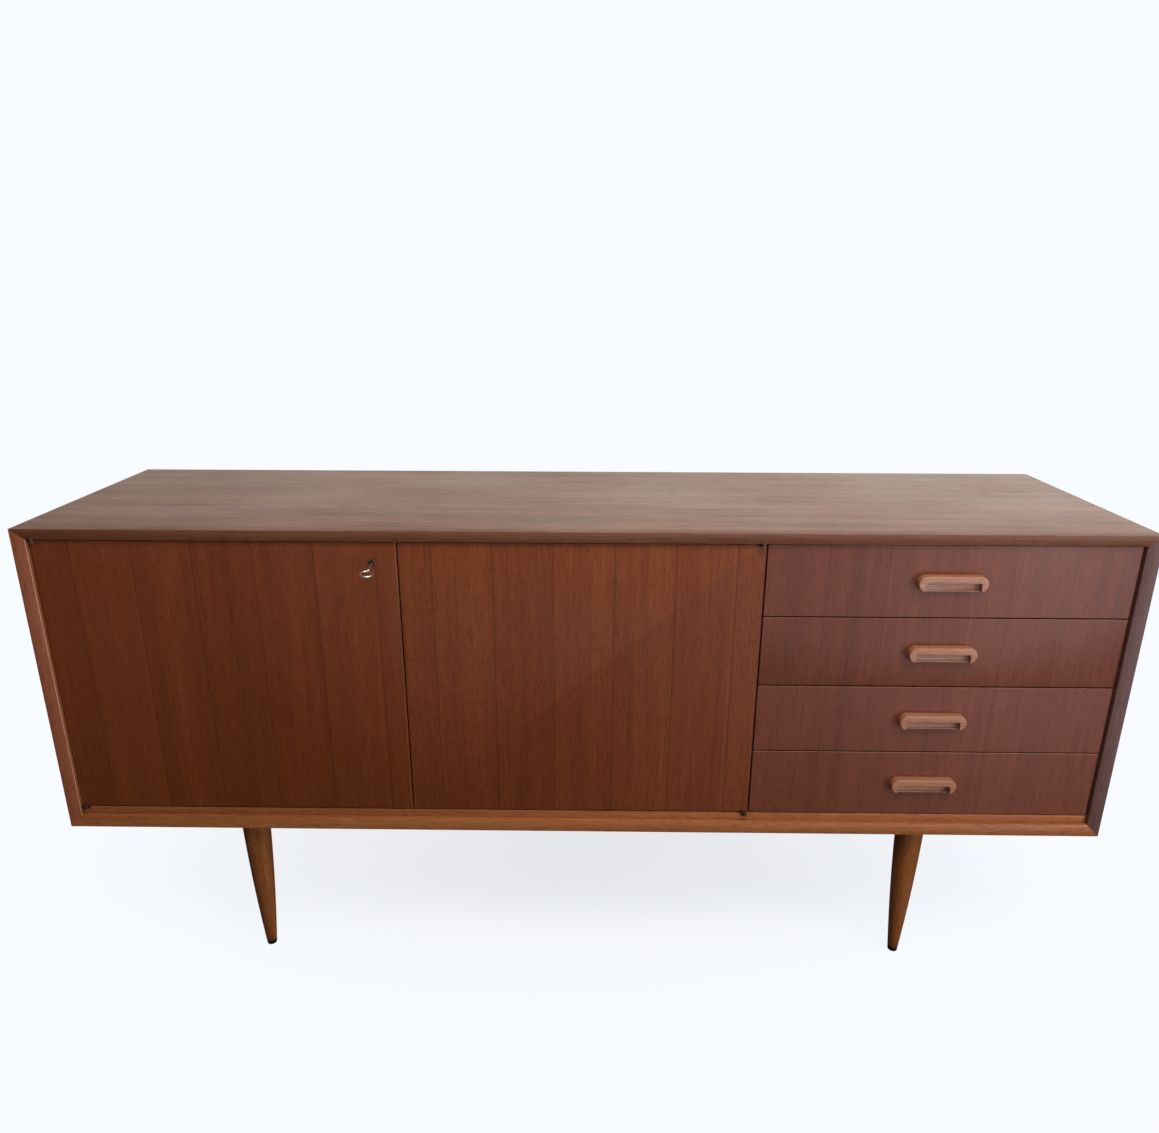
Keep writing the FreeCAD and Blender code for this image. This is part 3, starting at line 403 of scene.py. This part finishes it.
def moulded_plastic(name, hex_colour, worn_colour):
    """A matt moulded plastic that is paler where it is rubbed."""
    material = new_material(name)
    tree = material.node_tree
    place = add(tree, "TexCoord").outputs["Object"]
    # 0.5 mm spark-eroded grain of the mould
    grain = add(tree, "TexNoise", {"Vector": place, "Scale": 2000.0, "Detail": 1.0}).outputs[0]
    wear = add(tree, "TexNoise", {"Vector": place, "Scale": 120.0, "Detail": 3.0}).outputs[0]
    colour = ramp(tree, wear, [(0.45, hex_colour), (0.75, worn_colour)])
    bump = add(tree, "Bump", {"Height": grain, "Strength": 0.3, "Distance": 0.05 * MM})
    rough = spread(tree, wear, 0.3, 0.7, 0.4, 0.55)
    surface = add(tree, "BsdfPrincipled", {
        "Base Color": colour, "Roughness": rough, "Normal": bump.outputs[0],
    })
    add(tree, "OutputMaterial", {"Surface": surface.outputs[0]})
    return material


aged_brass = metal("aged_brass", "#8F6F3E", "#4F3A1E", 0.38)
bronzed_brass = metal("bronzed_brass", "#94705A", "#6C4C3A", 0.6)
zinc_steel = metal("zinc_plated_steel", "#B9BABA", "#85857F", 0.36)
worn_nickel = metal("worn_nickel", "#FBF2EC", "#E4D8D0", 0.32, scratch_mm=0.4)
black_plastic = moulded_plastic("black_nylon", "#100E0D", "#2A2623")
print("metals", aged_brass.name, zinc_steel.name, worn_nickel.name, "plastic", black_plastic.name)

# %% [markdown]
# ## Softened edges
#
# No joiner leaves an edge knife-sharp: each is eased with a stroke of sandpaper, half a millimetre or so, and
# that narrow round is what catches the light and tells the eye that a board is wood.  Edges that are glued to
# a neighbour stay sharp, or a groove would open in the joint.
#
# A copy of the CAD board is cleaned first, because it comes as loose triangles: its doubles are merged and
# the flat triangles dissolved into whole faces.  Then its long sharp edges are selected by their place, and
# bevelled.

# %% Tools to dress a board
EASED = 0.6 * MM
SAME = 1e-5


def deselect_all():
    if bpy.context.object and bpy.context.object.mode != "OBJECT":
        bpy.ops.object.mode_set(mode="OBJECT")
    bpy.ops.object.select_all(action="DESELECT")


def make_active(piece):
    deselect_all()
    piece.select_set(True)
    bpy.context.view_layer.objects.active = piece


def clean_copy(node, name):
    """A copy of a CAD node with its triangles merged into whole flat faces."""
    piece = frame["nodes"][node].copy()
    piece.data = piece.data.copy()
    piece.name = piece.data.name = name
    piece.parent = None
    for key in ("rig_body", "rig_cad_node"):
        if key in piece:
            del piece[key]
    bpy.context.scene.collection.objects.link(piece)
    make_active(piece)
    bpy.ops.object.mode_set(mode="EDIT")
    bpy.ops.mesh.select_all(action="SELECT")
    bpy.ops.mesh.customdata_custom_splitnormals_clear()
    bpy.ops.mesh.remove_doubles(threshold=2e-6)
    bpy.ops.mesh.dissolve_limited(angle_limit=math.radians(0.5))
    bpy.ops.object.mode_set(mode="OBJECT")
    return piece


def ease_edges(piece, width, glued=(), shortest=12 * MM, segments=2):
    """Bevels the long sharp edges, apart from those that lie in a glued plane.  glued holds functions that
    say whether a point is in such a plane."""
    make_active(piece)
    bpy.ops.object.mode_set(mode="EDIT")
    bpy.ops.mesh.select_mode(type="EDGE")
    bpy.ops.mesh.select_all(action="DESELECT")
    bpy.ops.mesh.edges_select_sharp(sharpness=math.radians(35))
    bpy.ops.object.mode_set(mode="OBJECT")
    mesh = piece.data
    chosen = 0
    for edge in mesh.edges:
        if not edge.select:
            continue
        a, b = (mesh.vertices[i].co for i in edge.vertices)
        keep = (a - b).length >= shortest and not any(test(a) and test(b) for test in glued)
        edge.select = keep
        chosen += keep
    for polygon in mesh.polygons:
        polygon.select = False
    for vertex in mesh.vertices:
        vertex.select = False
    bpy.ops.object.mode_set(mode="EDIT")
    if chosen:
        bpy.ops.mesh.bevel(offset=width, segments=segments, profile=0.5, affect="EDGES",
                           clamp_overlap=True)
    bpy.ops.object.mode_set(mode="OBJECT")
    return chosen


def finish_piece(piece, body, material, replaced=(), smooth=30):
    """Shades a piece, gives it its finish and its body, and hides the CAD nodes it stands for."""
    make_active(piece)
    bpy.ops.object.shade_smooth_by_angle(angle=math.radians(smooth))
    piece.data.materials.clear()
    piece.data.materials.append(material)
    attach(piece, body)
    if replaced:
        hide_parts(*replaced)


def second_finish(piece, material, wanted):
    """Gives another finish to the faces whose normal is wanted."""
    piece.data.materials.append(material)
    index = len(piece.data.materials) - 1
    for polygon in piece.data.polygons:
        if wanted(polygon.normal):
            polygon.material_index = index


def dressed(node, body, material, glued=(), width=EASED, shortest=12 * MM):
    """A CAD board with its edges eased and its finish on."""
    piece = clean_copy(node, node + "_piece")
    count = ease_edges(piece, width, glued, shortest)
    finish_piece(piece, body, material, [node])
    print("dressed", node, "edges", count, "faces", len(piece.data.polygons))
    return piece


def in_plane(axis, value):
    """A test for the plane where one coordinate has this value."""
    return lambda point: abs(point[axis] - value) < SAME


def in_mitre(side, end):
    """A test for the mitre at one corner: side is -1 on the left and 1 on the right, end -1 below, 1 above."""
    def test(point):
        inwards = HALF_WIDTH - side * point.x
        from_end = CASE_HIGH.z - point.z if end > 0 else point.z - CASE_LOW.z
        return abs(inwards - from_end) < SAME
    return test


# %% [markdown]
# ## The case
#
# Top, bottom and sides are 19 mm boards, mitred at the corners.  In front each has a solid lipping, 28 mm
# deep, whose front slopes back 7 mm from its outer arris, so the whole front is a shallow picture frame
# around the doors and drawers.  The arris is the most handled edge of all, and is eased the most.
#
# The veneer of the top and the sides is laid on over the lippings' outer faces, so no strip shows there.  The
# inner arris of the left lipping, which faces the window, is painted pale, as a painted highlight.

# %% Case boards, lippings and inner boards
case_glue = [in_mitre(side, end) for side in (-1, 1) for end in (-1, 1)] + [in_plane(1, LIPPING_BACK_Y)]
for side, material in (("top_panel", veneer_top), ("bottom_panel", veneer_inside)):
    dressed(side, "case", material, case_glue)
for side in ("side_panel_left", "side_panel_right"):
    dressed(side, "case", veneer_sides, case_glue)
# The lippings' tones differ partly as painted light: painted shade on the top and right ones.
lippings = {"top": solid_above_painted_shade, "bottom": solid_lengthwise, "left": solid_upright, "right": solid_shaded}
laid_over = {"top": ((0, 0, 1), veneer_top), "left": ((-1, 0, 0), veneer_sides),
             "right": ((1, 0, 0), veneer_sides)}
for side, material in lippings.items():
    lipping = dressed("lipping_" + side, "case", material, case_glue, width=0.9 * MM)
    if side in laid_over:
        outwards, veneer = laid_over[side]
        second_finish(lipping, veneer, lambda normal: normal.dot(Vector(outwards)) > 0.99)
    if side == "left":
        # Painted highlight on the left lipping's inner arris, on the faces turned to the window.
        second_finish(lipping, lit_arris_highlight, lambda normal: normal.x > 0.45 and normal.y < -0.3)
dressed("bottom_rail", "case", solid_lengthwise, width=0.8 * MM)
for inner in ("divider_middle", "divider_right"):
    dressed(inner, "case", veneer_inside_upright)
for inner in ("shelf_left", "shelf_right"):
    dressed(inner, "case", veneer_inside)
dressed("back_panel", "case", plywood_back)
dressed("drawer_runners", "case", beech_deep)

# %% [markdown]
# ## Doors
#
# Each door is a veneered board between two upright strips of solid teak, 3.5 mm thick, that protect the
# veneer's edges.  Only the outer edges are eased, because the strips are glued flush to the board.

# %% Doors
for side, material in (("left", veneer_door_left), ("right", veneer_door_right)):
    board = "door_" + side + "_board"
    low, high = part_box(board)
    strip_glue = [in_plane(0, low.x), in_plane(0, high.x)]
    dressed(board, "door_" + side, material, strip_glue)
    dressed("door_" + side + "_lippings", "door_" + side, solid_door_edge, strip_glue)

# %% [markdown]
# ## Drawers
#
# A drawer is a veneered front on a beech box with a plywood bottom.  The box's sides slide into the back of
# the front on dovetail-shaped tongues.  The four fronts are cut from one run of veneer, so their upright grain
# goes on from one to the next: the pattern reads the place of each front in the case, which does that by
# itself.  Their upper front arrises, which face the light from above, are painted paler, as a painted
# highlight.

# %% Drawers
DRAWERS = (1, 2, 3, 4)
for number in DRAWERS:
    name = "drawer_" + str(number)
    face = dressed(name + "_front", name, veneer_drawers, width=0.9 * MM)
    # Painted highlight on the upper front arrises, on the faces turned up to the light.
    second_finish(face, lit_arris_highlight, lambda normal: normal.z > 0.3 and normal.y < -0.3)
    dressed(name + "_box", name, beech_deep)
    dressed(name + "_bottom", name, plywood_cross, width=0.3 * MM)

# %% [markdown]
# ## Tools for pieces made from a block
#
# The pulls, the legs and the key aren't boards, so they are modelled afresh.  A block is a cube at its right
# size, a bevel picks its edges by where their ends are, and a cut is a boolean that is applied at once.

# %% Block, bevel and cut
def new_block(name, low, high):
    """A box between two corners, with its size applied."""
    deselect_all()
    bpy.ops.mesh.primitive_cube_add(size=1, location=(low + high) / 2)
    block = bpy.context.object
    block.scale = high - low
    bpy.ops.object.transform_apply(location=True, rotation=False, scale=True)
    block.name = block.data.name = name
    return block


def bevel_where(piece, width, segments, wanted, profile=0.5):
    """Bevels the edges that wanted says yes to, given their two ends."""
    make_active(piece)
    bpy.ops.object.mode_set(mode="EDIT")
    bpy.ops.mesh.select_mode(type="EDGE")
    bpy.ops.mesh.select_all(action="DESELECT")
    bpy.ops.object.mode_set(mode="OBJECT")
    mesh = piece.data
    for edge in mesh.edges:
        a, b = (mesh.vertices[i].co for i in edge.vertices)
        edge.select = wanted(a, b)
    bpy.ops.object.mode_set(mode="EDIT")
    bpy.ops.mesh.bevel(offset=width, segments=segments, profile=profile, affect="EDGES", clamp_overlap=True)
    bpy.ops.object.mode_set(mode="OBJECT")


def cut_away(piece, cutter):
    """Takes the cutter's space out of the piece, and the cutter out of the scene."""
    make_active(piece)
    cut = piece.modifiers.new("cut", "BOOLEAN")
    cut.operation, cut.object, cut.solver = "DIFFERENCE", cutter, "EXACT"
    bpy.ops.object.modifier_apply(modifier=cut.name)
    bpy.data.objects.remove(cutter)


def copied_to(original, node, low):
    """A copy with its own mesh, moved so that the original's lower corner comes to the node's."""
    copy = original.copy()
    copy.data = original.data.copy()
    copy.name = copy.data.name = node + "_piece"
    bpy.context.scene.collection.objects.link(copy)
    copy.data.transform(Matrix.Translation(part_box(node)[0] - low))


print("tools for blocks are ready")

# %% [markdown]
# ## Bar pulls: the block
#
# The pull is one slip of teak with round ends and a face that is rounded over.  It is made from a block whose
# four long corners are rounded until its ends are half circles; then the rim of its face is rounded too.

# %% A slip with round ends
pull_low, pull_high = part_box("drawer_1_pull")
pull_middle = (pull_low + pull_high) / 2
PULL_RIM = 6 * MM
NEARLY_HALF = 0.995        # a full half circle would leave the two roundings touching

pull = new_block("drawer_1_pull_piece", pull_low, pull_high)
half_height = (pull_high.z - pull_low.z) / 2
bevel_where(pull, half_height * NEARLY_HALF, 12,
            lambda a, b: abs(a.y - b.y) > SAME and abs(a.x - b.x) < SAME and abs(a.z - b.z) < SAME)
bevel_where(pull, PULL_RIM, 7, lambda a, b: in_plane(1, pull_low.y)(a) and in_plane(1, pull_low.y)(b))
print("pull block, mm", [round(size / MM, 1) for size in pull_high - pull_low])

# %% [markdown]
# ## Bar pulls: the hollow
#
# From below, the pull is hollowed behind a bar, so that fingertips hook up behind it.  The block that takes
# the hollow out has a step in its back, which leaves a narrow sill standing along the lower edge, as a
# moulding cutter that doesn't run quite through would.  The step is made by slicing the cutter level with the
# sill's top, and drawing the back face above that slice further in.

# %% The cutter for the hollow
PULL_BASE = 4 * MM
PULL_BAR = 11 * MM
PULL_HOLLOW_WIDTH = 89 * MM
PULL_SILL = 1.8 * MM       # height of the strip left standing
PULL_SILL_OUT = 3.2 * MM   # and how far it stands out from the back plate
HOLLOW_ROUND = 4 * MM
PAST_FACE, PAST_EDGE = 2 * MM, 5 * MM   # how far the cutter stands out of the pull

sill_top, sill_front = pull_low.z + PULL_SILL, pull_high.y - PULL_BASE - PULL_SILL_OUT
hollow = new_block(
    "hollow",
    Vector((pull_middle.x - PULL_HOLLOW_WIDTH / 2, pull_low.y - PAST_FACE, pull_low.z - PAST_EDGE)),
    Vector((pull_middle.x + PULL_HOLLOW_WIDTH / 2, sill_front, pull_high.z - PULL_BAR)),
)
make_active(hollow)
bpy.ops.object.mode_set(mode="EDIT")
bpy.ops.mesh.select_all(action="SELECT")
bpy.ops.mesh.bisect(plane_co=(0, 0, sill_top), plane_no=(0, 0, 1))
bpy.ops.mesh.select_mode(type="FACE")
bpy.ops.mesh.select_all(action="DESELECT")
bpy.ops.object.mode_set(mode="OBJECT")
for polygon in hollow.data.polygons:
    polygon.select = polygon.normal.y > 0.9 and polygon.center.z > sill_top
bpy.ops.object.mode_set(mode="EDIT")
bpy.ops.mesh.extrude_region_move(TRANSFORM_OT_translate={"value": (0, PULL_SILL_OUT, 0)})
bpy.ops.object.mode_set(mode="OBJECT")
bevel_where(hollow, HOLLOW_ROUND, 5, lambda a, b: abs(a.y - b.y) > SAME and min(a.z, b.z) > pull_middle.z)
print("cutter faces", len(hollow.data.polygons))

# %% [markdown]
# ## Bar pulls: cutting, easing and copying
#
# The hollow is cut after doubled corners are merged, because the boolean needs a closed skin.  Its sharp
# edges are eased like all the others, and the large flat faces are split into triangles, which keeps their
# shading even.  The other three pulls are copies, each moved to its own drawer.

# %% One pull, then its three copies
make_active(pull)
bpy.ops.object.mode_set(mode="EDIT")
bpy.ops.mesh.select_all(action="SELECT")
bpy.ops.mesh.remove_doubles(threshold=0.02 * MM)
bpy.ops.object.mode_set(mode="OBJECT")
cut_away(pull, hollow)
make_active(pull)
bpy.ops.object.mode_set(mode="EDIT")
bpy.ops.mesh.select_mode(type="EDGE")
bpy.ops.mesh.select_all(action="DESELECT")
bpy.ops.mesh.edges_select_sharp(sharpness=math.radians(50))
bpy.ops.mesh.bevel(offset=EASED, segments=3, profile=0.5, affect="EDGES", clamp_overlap=True)
bpy.ops.mesh.select_all(action="SELECT")
bpy.ops.mesh.quads_convert_to_tris(quad_method="BEAUTY", ngon_method="BEAUTY")
bpy.ops.object.mode_set(mode="OBJECT")
print("pull faces", len(pull.data.polygons))

for number in DRAWERS[1:]:
    copied_to(pull, "drawer_%d_pull" % number, pull_low)
for number in DRAWERS:
    name = "drawer_" + str(number)
    piece = bpy.data.objects[name + "_pull_piece"]
    finish_piece(piece, name, solid_pull, [name + "_pull"], smooth=40)

# %% [markdown]
# ## Legs
#
# The legs are turned on a lathe: 49 mm across under the case, 19 mm at the foot, and fuller between than a
# straight taper would be.  A disc the size of the foot is drawn up in steps, each a little wider, as the
# turner's gouge leaves it, and its two rims are eased.

# %% One leg, then its three copies
LEG_STEPS = 14
LEG_SIDES = 56
LEG_RIM = 0.8 * MM
leg_low, leg_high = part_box("leg_front_left")
leg_axis = (leg_low + leg_high) / 2
top_radius = (leg_high.x - leg_low.x) / 2
MID_RADIUS = 19 * MM
FOOT_RADIUS = 9.3 * MM


def leg_radius(t):
    """Radius at a share t of the way up, on the curve through foot, middle and top."""
    bulge = MID_RADIUS - (FOOT_RADIUS + top_radius) / 2
    return FOOT_RADIUS + (top_radius - FOOT_RADIUS) * t + 4 * bulge * t * (1 - t)


deselect_all()
bpy.ops.mesh.primitive_circle_add(vertices=LEG_SIDES, radius=FOOT_RADIUS, fill_type="NGON",
                                  location=(leg_axis.x, leg_axis.y, leg_low.z))
leg = bpy.context.object
bpy.ops.object.transform_apply(location=True, rotation=False, scale=False)
bpy.ops.object.mode_set(mode="EDIT")
bpy.ops.mesh.select_all(action="SELECT")
rise = (leg_high.z - leg_low.z) / LEG_STEPS
for step in range(LEG_STEPS):
    bpy.ops.mesh.extrude_region_move(TRANSFORM_OT_translate={"value": (0, 0, rise)})
    growth = leg_radius((step + 1) / LEG_STEPS) / leg_radius(step / LEG_STEPS)
    bpy.ops.transform.resize(value=(growth, growth, 1), center_override=(leg_axis.x, leg_axis.y, 0))
bpy.ops.mesh.select_all(action="SELECT")
bpy.ops.mesh.normals_make_consistent(inside=False)
bpy.ops.object.mode_set(mode="OBJECT")
bevel_where(leg, LEG_RIM, 2, lambda a, b: abs(a.z - b.z) < SAME
            and (abs(a.z - leg_low.z) < SAME or abs(a.z - leg_high.z) < SAME))
leg.name = leg.data.name = "leg_front_left_piece"

LEGS = ("leg_front_left", "leg_front_right", "leg_back_left", "leg_back_right")
for node in LEGS[1:]:
    copied_to(leg, node, leg_low)
for node in LEGS:
    finish_piece(bpy.data.objects[node + "_piece"], "case", solid_leg, [node], smooth=35)
print("leg faces", len(leg.data.polygons))

# %% [markdown]
# ## The key
#
# A cabinet key is cast and plated: a ring to hold, a collar that stops it in the lock, a round shank, and a
# bit at its end.  The shank starts as a small circle at the inner end and is drawn forwards, swelling at the
# collar.  It hangs down a few degrees, as a loose key does.

# %% Key
hole_low, hole_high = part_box("keyhole_escutcheon")
KEY_IN_LOCK = 8 * MM       # the point it tips about, behind the door's face
KEY_END = 3 * MM           # and its inner end, beyond that point
KEY_TO_RING = 38 * MM      # middle of the ring, in front of the face
KEY_RADIUS, RING_RADIUS, RING_WIRE = 2.2 * MM, 9.4 * MM, 1.6 * MM
KEY_DROOP, RING_TWIST = math.radians(8), math.radians(5)
COLLAR_GAP = 5.6 * MM      # from the ring's back to the collar's
COLLAR_SWELL = 1.4         # the collar is this much wider than the shank
BIT_LOW, BIT_HIGH = Vector((-3.9, -1.0, -0.9)) * MM, Vector((-1.0, 2.8, 0.9)) * MM   # from the tip point
tip_point = Vector(((hole_low.x + hole_high.x) / 2, DOOR_FACE_Y + KEY_IN_LOCK, (hole_low.z + hole_high.z) / 2))
ring_y = DOOR_FACE_Y - KEY_TO_RING

deselect_all()
bpy.ops.mesh.primitive_circle_add(vertices=28, radius=KEY_RADIUS, fill_type="NGON",
                                  rotation=(math.pi / 2, 0, 0),
                                  location=(tip_point.x, tip_point.y + KEY_END, tip_point.z))
key = bpy.context.object
bpy.ops.object.transform_apply(location=True, rotation=True, scale=False)
bpy.ops.object.mode_set(mode="EDIT")
bpy.ops.mesh.select_all(action="SELECT")
collar_back = ring_y + RING_RADIUS + COLLAR_GAP
to_collar = tip_point.y + KEY_END - collar_back
collar = [(0.3 * MM, COLLAR_SWELL), (1.8 * MM, 1.0), (0.3 * MM, 1 / COLLAR_SWELL)]
shank_end = [(3.4 * MM, 1.0), (0.6 * MM, 0.8)]
for length, growth in [(to_collar, 1.0)] + collar + shank_end:
    bpy.ops.mesh.extrude_region_move(TRANSFORM_OT_translate={"value": (0, -length, 0)})
    bpy.ops.transform.resize(value=(growth, 1, growth), center_override=(tip_point.x, 0, tip_point.z))
bpy.ops.mesh.select_all(action="SELECT")
bpy.ops.mesh.normals_make_consistent(inside=False)
bpy.ops.object.mode_set(mode="OBJECT")
bit = new_block("bit", tip_point + BIT_LOW, tip_point + BIT_HIGH)
bevel_where(bit, 0.3 * MM, 2, lambda a, b: True)
deselect_all()
bpy.ops.mesh.primitive_torus_add(major_radius=RING_RADIUS, minor_radius=RING_WIRE, major_segments=56,
                                 minor_segments=16, location=(tip_point.x, ring_y, tip_point.z),
                                 rotation=(0, RING_TWIST, 0))
ring = bpy.context.object
bpy.ops.object.transform_apply(location=True, rotation=True, scale=False)
deselect_all()
for piece in (ring, bit, key):
    piece.select_set(True)
bpy.context.view_layer.objects.active = key
bpy.ops.object.join()
bpy.ops.object.mode_set(mode="EDIT")
bpy.ops.mesh.select_all(action="SELECT")
bpy.ops.transform.rotate(value=-KEY_DROOP, orient_axis="X", orient_type="GLOBAL",
                         center_override=tip_point)
bpy.ops.object.mode_set(mode="OBJECT")
key.name = key.data.name = "key_piece"
finish_piece(key, "key", worn_nickel, ["key"], smooth=35)
ends = [key.matrix_world @ vertex.co for vertex in key.data.vertices]
print("key, mm", [round((f(v[i] for v in ends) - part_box("key")[n][i]) / MM, 2)
                  for n, f in ((0, min), (1, max)) for i in range(3)])

# %% [markdown]
# ## Small hardware
#
# The remaining CAD nodes have their right shape already: hinge leaves, screws, the lock and its bolt, the
# strike and catch plates, pins and foot glides.  They stay, and only get their metal or plastic.

# %% Finishes on the CAD nodes that stay
hardware = {
    bronzed_brass: ["hinge_leaves_case", "door_left_hinge_leaves", "door_right_hinge_leaves",
                    "keyhole_escutcheon", "lock_barrel"],
    aged_brass: ["lock_case", "strike_plate", "shelf_pins"],
    zinc_steel: ["back_panel_screws", "leg_plates", "leg_plate_screws", "leg_bolts", "lock_bolt",
                 "catch_plate"] + ["drawer_%d_pull_screws" % number for number in DRAWERS],
    black_plastic: ["foot_glides", "magnetic_catch"],
}
for material, nodes in hardware.items():
    for node in nodes:
        part = frame["nodes"][node]
        part.data.materials.clear()
        part.data.materials.append(material)
print("hardware nodes", sum(len(nodes) for nodes in hardware.values()))

# %% [markdown]
# ## The floor
#
# The sideboard stands on a plain pale floor that runs on into a pale room.  The floor is made in two ways.
# Where it is looked at, it is a pale paint that is partly lit from within, and it fades into the room's
# tone some way out from the shade under the case.  To the wood above, it is a dull carpet, which keeps the
# legs and the underside from being lit too strongly from below.

# %% Floor
deselect_all()
bpy.ops.mesh.primitive_plane_add(size=40, location=(0, 0, 0))
floor = bpy.context.object
floor.name = floor.data.name = "floor"
floor_paint = new_material("pale_floor")
tree = floor_paint.node_tree
FLOOR_GLOW = 0.66          # how bright the camera finds the floor's paint where a shadow is darkest
SHADE_MIDDLE = (0.0, 0.22, 0.0)
FLOOR_EDGE = (0.08, 0.6)   # metres from there over which the shade turns into bright floor
matt = add(tree, "BsdfDiffuse", {"Color": linear("#B4B6BA")})
glow = add(tree, "Emission", {"Color": linear("#F8FBFF"), "Strength": FLOOR_GLOW})
lit = add(tree, "AddShader", {0: matt.outputs[0], 1: glow.outputs[0]})
room = add(tree, "Emission", {"Color": linear("#F8FBFF"), "Strength": 1.0})
from_shade = add(tree, "VectorMath", {0: add(tree, "TexCoord").outputs["Object"], 1: SHADE_MIDDLE},
                 operation="SUBTRACT")
squeezed = add(tree, "VectorMath", {0: from_shade.outputs[0], 1: (0.5, 1, 1)}, operation="MULTIPLY")
reach = add(tree, "VectorMath", {0: squeezed.outputs[0]}, operation="LENGTH").outputs["Value"]
fade = spread(tree, reach, *FLOOR_EDGE)
looked_at = add(tree, "MixShader", {0: fade, 1: lit.outputs[0], 2: room.outputs[0]})
carpet = add(tree, "BsdfDiffuse", {"Color": linear("#544F4A")})
ray = add(tree, "LightPath")
surface = add(tree, "MixShader", {
    0: ray.outputs["Is Camera Ray"], 1: carpet.outputs[0], 2: looked_at.outputs[0],
})
add(tree, "OutputMaterial", {"Surface": surface.outputs[0]})
floor.data.materials.append(floor_paint)
print("floor", floor.name)

# %% [markdown]
# ## The room
#
# The room is an even pale tone to look at.  What the wood feels of it is brighter behind the sideboard and to
# the right, as a pale wall there would be, and that is the sheen on the waxed top.

# %% Room
world = bpy.data.worlds.new("pale_room")
bpy.context.scene.world = world
world.use_nodes = True
tree = world.node_tree
tree.nodes.clear()
way = add(tree, "SeparateXYZ", {0: add(tree, "TexCoord").outputs["Generated"]})
backwards = spread(tree, way.outputs[1], -0.1, 0.8)
rightwards = spread(tree, way.outputs[0], -0.8, 0.7, 0.3, 1.45)
room_light = maths(tree, "ADD", maths(tree, "MULTIPLY", backwards, rightwards), 0.08)
seen = add(tree, "Background", {"Color": linear("#F8FBFF"), "Strength": 1.0})
felt = add(tree, "Background", {"Color": linear("#F8F1E9"), "Strength": room_light})
ray = add(tree, "LightPath")
mix = add(tree, "MixShader", {0: ray.outputs["Is Camera Ray"], 1: felt.outputs[0], 2: seen.outputs[0]})
add(tree, "OutputWorld", {"Surface": mix.outputs[0]})
print("room", world.name)

# %% [markdown]
# ## The lamps
#
# A tall window on the right gives the main light, and a soft lamp overhead fills it.  Three wide lamps lie
# just above the floor in front and face up, in place of a floor that the sun falls on: they put the pale haze
# on the drawers, and more of it on the right.  A weak lamp on the left stands for the rest of the room.

# %% Lamps

def soft_lamp(name, place, target, width, height, power, hex_colour):
    """A soft box that faces its target and isn't seen itself."""
    data = bpy.data.lights.new(name, "AREA")
    data.shape, data.size, data.size_y = "RECTANGLE", width, height
    data.energy = power
    data.color = linear(hex_colour)[:3]
    lamp = bpy.data.objects.new(name, data)
    bpy.context.scene.collection.objects.link(lamp)
    lamp.location = place
    lamp.rotation_euler = (Vector(target) - Vector(place)).to_track_quat("-Z", "Y").to_euler()
    lamp.visible_camera = False
    return lamp


soft_lamp("window_right", (3.0, -2.8, 1.1), (0.4, 0.0, 0.6), 1.6, 2.0, 59, "#EEF2FF")
soft_lamp("ceiling", (0.6, -1.1, 2.3), (0.4, -0.2, 0.5), 1.8, 0.8, 29, "#FFF8F0")
soft_lamp("sunlit_floor_right", (2.3, -2.4, 0.02), (2.3, -2.4, 2.0), 2.5, 1.8, 47, "#DDE6FF")
soft_lamp("sunlit_floor_middle", (1.6, -2.45, 0.02), (1.6, -2.45, 2.0), 3.9, 2.0, 34, "#DDE6FF")
soft_lamp("room_left", (-3.0, 0.9, 1.2), (-0.9, 0.0, 0.5), 1.6, 1.6, 16, "#FFF6EC")
soft_lamp("sunlit_floor_left", (-0.5, -2.8, 0.02), (-0.5, -2.8, 2.0), 3.0, 1.8, 16, "#F2F0FA")
bpy.context.scene.view_settings.view_transform = "Standard"
